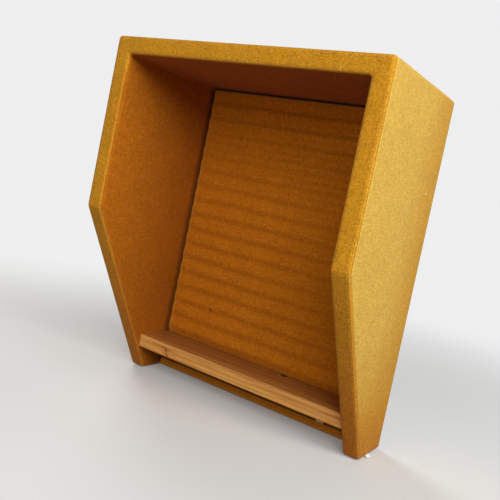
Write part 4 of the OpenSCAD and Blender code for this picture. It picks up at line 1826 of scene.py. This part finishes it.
@dataclass(frozen=True)
class PhotoCamera:
    """The photograph's camera, solved from the hood's own edges.

    Angles are in degrees. Azimuth 0 looks along +Y and turns to -X, and roll leans the picture.
    """

    eye: tuple[float, float, float] = (0.904013, -1.693449, 0.128237)
    azimuth: float = 32.0
    elevation: float = 3.361
    roll: float = 11.591
    image_px: float = 500.0
    focal_px: float = 648.23
    principal_row_px: float = 220.68
    sensor_mm: float = 36.0

    def place(self) -> None:
        """Makes the camera and makes it the scene's."""
        az, el, roll = (math.radians(a) for a in (self.azimuth, self.elevation, self.roll))
        forward = Vector((-math.sin(az) * math.cos(el), math.cos(az) * math.cos(el), -math.sin(el)))
        level = forward.cross(Vector((0, 0, 1))).normalized()
        upright = level.cross(forward)
        right = level * math.cos(roll) + upright * math.sin(roll)
        up = upright * math.cos(roll) - level * math.sin(roll)
        turn = Matrix((right, up, -forward)).transposed().to_4x4()
        camera = bpy.data.objects.new("photo_camera", bpy.data.cameras.new("photo_camera"))
        camera.data.sensor_width = self.sensor_mm
        camera.data.lens = self.sensor_mm * self.focal_px / self.image_px
        camera.data.shift_y = (self.principal_row_px - self.image_px / 2) / self.image_px
        camera.matrix_world = Matrix.Translation(self.eye) @ turn
        bpy.context.scene.collection.objects.link(camera)
        bpy.context.scene.camera = camera


@dataclass(frozen=True)
class SoftBox:
    """One large soft lamp aimed at a point."""

    name: str
    place: tuple[float, float, float]
    aim: tuple[float, float, float]
    size: float
    watts: float
    colour: Colour = (1.0, 1.0, 1.0)

    def hang(self) -> None:
        """Makes the lamp."""
        light = bpy.data.lights.new(self.name, "AREA")
        light.shape = "SQUARE"
        light.size = self.size
        light.energy = self.watts
        light.color = self.colour
        lamp = bpy.data.objects.new(self.name, light)
        lamp.location = self.place
        lamp.rotation_euler = (Vector(self.aim) - Vector(self.place)).to_track_quat("-Z", "Y").to_euler()
        bpy.context.scene.collection.objects.link(lamp)


@dataclass(frozen=True)
class Studio:
    """Pale floor, soft lamps and an even pale surround."""

    floor_size: float = 14.0
    floor_gap: float = 0.004
    ambient: float = 0.06
    floor_fade: tuple[float, float] = (0.7, 2.6)
    floor_even: float = 0.12
    floor_bounce: Colour = (0.205, 0.142, 0.10)
    floor_tones: tuple[Colour, Colour] = ((0.74, 0.735, 0.725), (0.78, 0.775, 0.765))
    surround: Colour = (0.86, 0.86, 0.86)

    def build(self) -> None:
        """Builds the floor, the lamps and the surround."""
        self.build_floor()
        self.build_surround()
        aim = (0.0, -0.25, 0.0)
        SoftBox("window", (4.059, -1.337, 1.871), aim, 2.0, 160.0, (0.97, 1.0, 0.99)).hang()
        SoftBox("room_right", (2.35, -3.57, 2.05), aim, 1.8, 104.0, (1.0, 0.99, 0.97)).hang()
        SoftBox("room_front", (0.15, -4.75, 0.62), aim, 1.8, 52.0, (1.0, 0.97, 0.93)).hang()
        SoftBox("room_behind", (-3.2, 1.6, 1.5), aim, 2.0, 100.0).hang()

    def build_floor(self) -> None:
        """Lays the floor just under the lowest piece, fading into the surround far from the hood."""
        material, s, shader = start_material("pale_floor")
        place = s.put("ShaderNodeTexCoord", (), "Object")
        seen = s.put("ShaderNodeLightPath", (), "Is Camera Ray")
        tone = s.mix(s.noise(place, 3), *self.floor_tones)
        s.fill(shader, {
            "Base Color": s.mix(seen, self.floor_bounce, tone),
            "Roughness": 0.95,
            "Specular IOR Level": 0.1,
        })
        far = seen * s.ramp(s.length(place), *self.floor_fade, self.floor_even, 1.0)
        glow = s.put("ShaderNodeEmission", {"Color": self.surround})
        lit = s.blend(far, shader.outputs[0], glow)
        below = s.put("ShaderNodeNewGeometry", (), "Backfacing")
        clear = s.blend(below, lit, s.put("ShaderNodeBsdfTransparent", ()))
        s.feed(material.node_tree.nodes["Material Output"].inputs["Surface"], clear)
        half, low = self.floor_size / 2, CAD_BOX[0][2] - self.floor_gap
        ring = ((-half, -half), (half, -half), (half, half), (-half, half))
        corners = np.array([(x, y, low) for x, y in ring])
        floor = make_piece("floor", corners, np.array([[0, 1, 2, 3]]))
        floor.data.materials.append(material)

    def build_surround(self) -> None:
        """Lights the scene evenly and shows a plain pale surround to the camera."""
        world = bpy.data.worlds.new("surround")
        world.use_nodes = True
        world.node_tree.nodes.clear()
        s = NodeSheet(world.node_tree)
        ray = s.add("ShaderNodeLightPath").outputs
        bounced = s.math("MAXIMUM", ray["Is Glossy Ray"], ray["Is Transmission Ray"])
        direct = s.math("MAXIMUM", ray["Is Camera Ray"], bounced)
        lit = s.put("ShaderNodeBackground", {"Strength": self.ambient})
        shown = s.put("ShaderNodeBackground", {"Color": self.surround})
        s.fill(s.add("ShaderNodeOutputWorld"), {"Surface": s.blend(direct, lit, shown)})
        bpy.context.scene.world = world


def dress_nodes() -> None:
    """Gives every CAD node that stays its own material."""
    slots = {row["node"]: Slot(row["material_slot"]) for row in frame["record"]["subparts"]}
    for name, node in frame["nodes"].items():
        finish = PLYWOOD_FINISH.get(name) or NODE_FINISH[slots[name]]
        if not node.material_slots:
            node.data.materials.append(None)
        for slot in node.material_slots:
            slot.material = Paint.get(finish)
    LOG.info("dressed %d CAD nodes", len(frame["nodes"]))


def main() -> None:
    """Builds the camera, the pieces and the studio in order."""
    logging.basicConfig(level=logging.INFO, format="%(message)s")
    bpy.context.scene.view_settings.view_transform = "Standard"
    PhotoCamera().place()
    dress_nodes()
    shape = HoodShape.from_frame()
    FrontBand(shape).build()
    OuterFelt(shape).build()
    InnerFelt(shape).build()
    RippledInsert.from_frame().build()
    RailFelt.from_frame().build()
    SewnTabs().build()
    BackCover.from_frame().build()
    Studio().build()


if __name__ == "__main__":
    main()
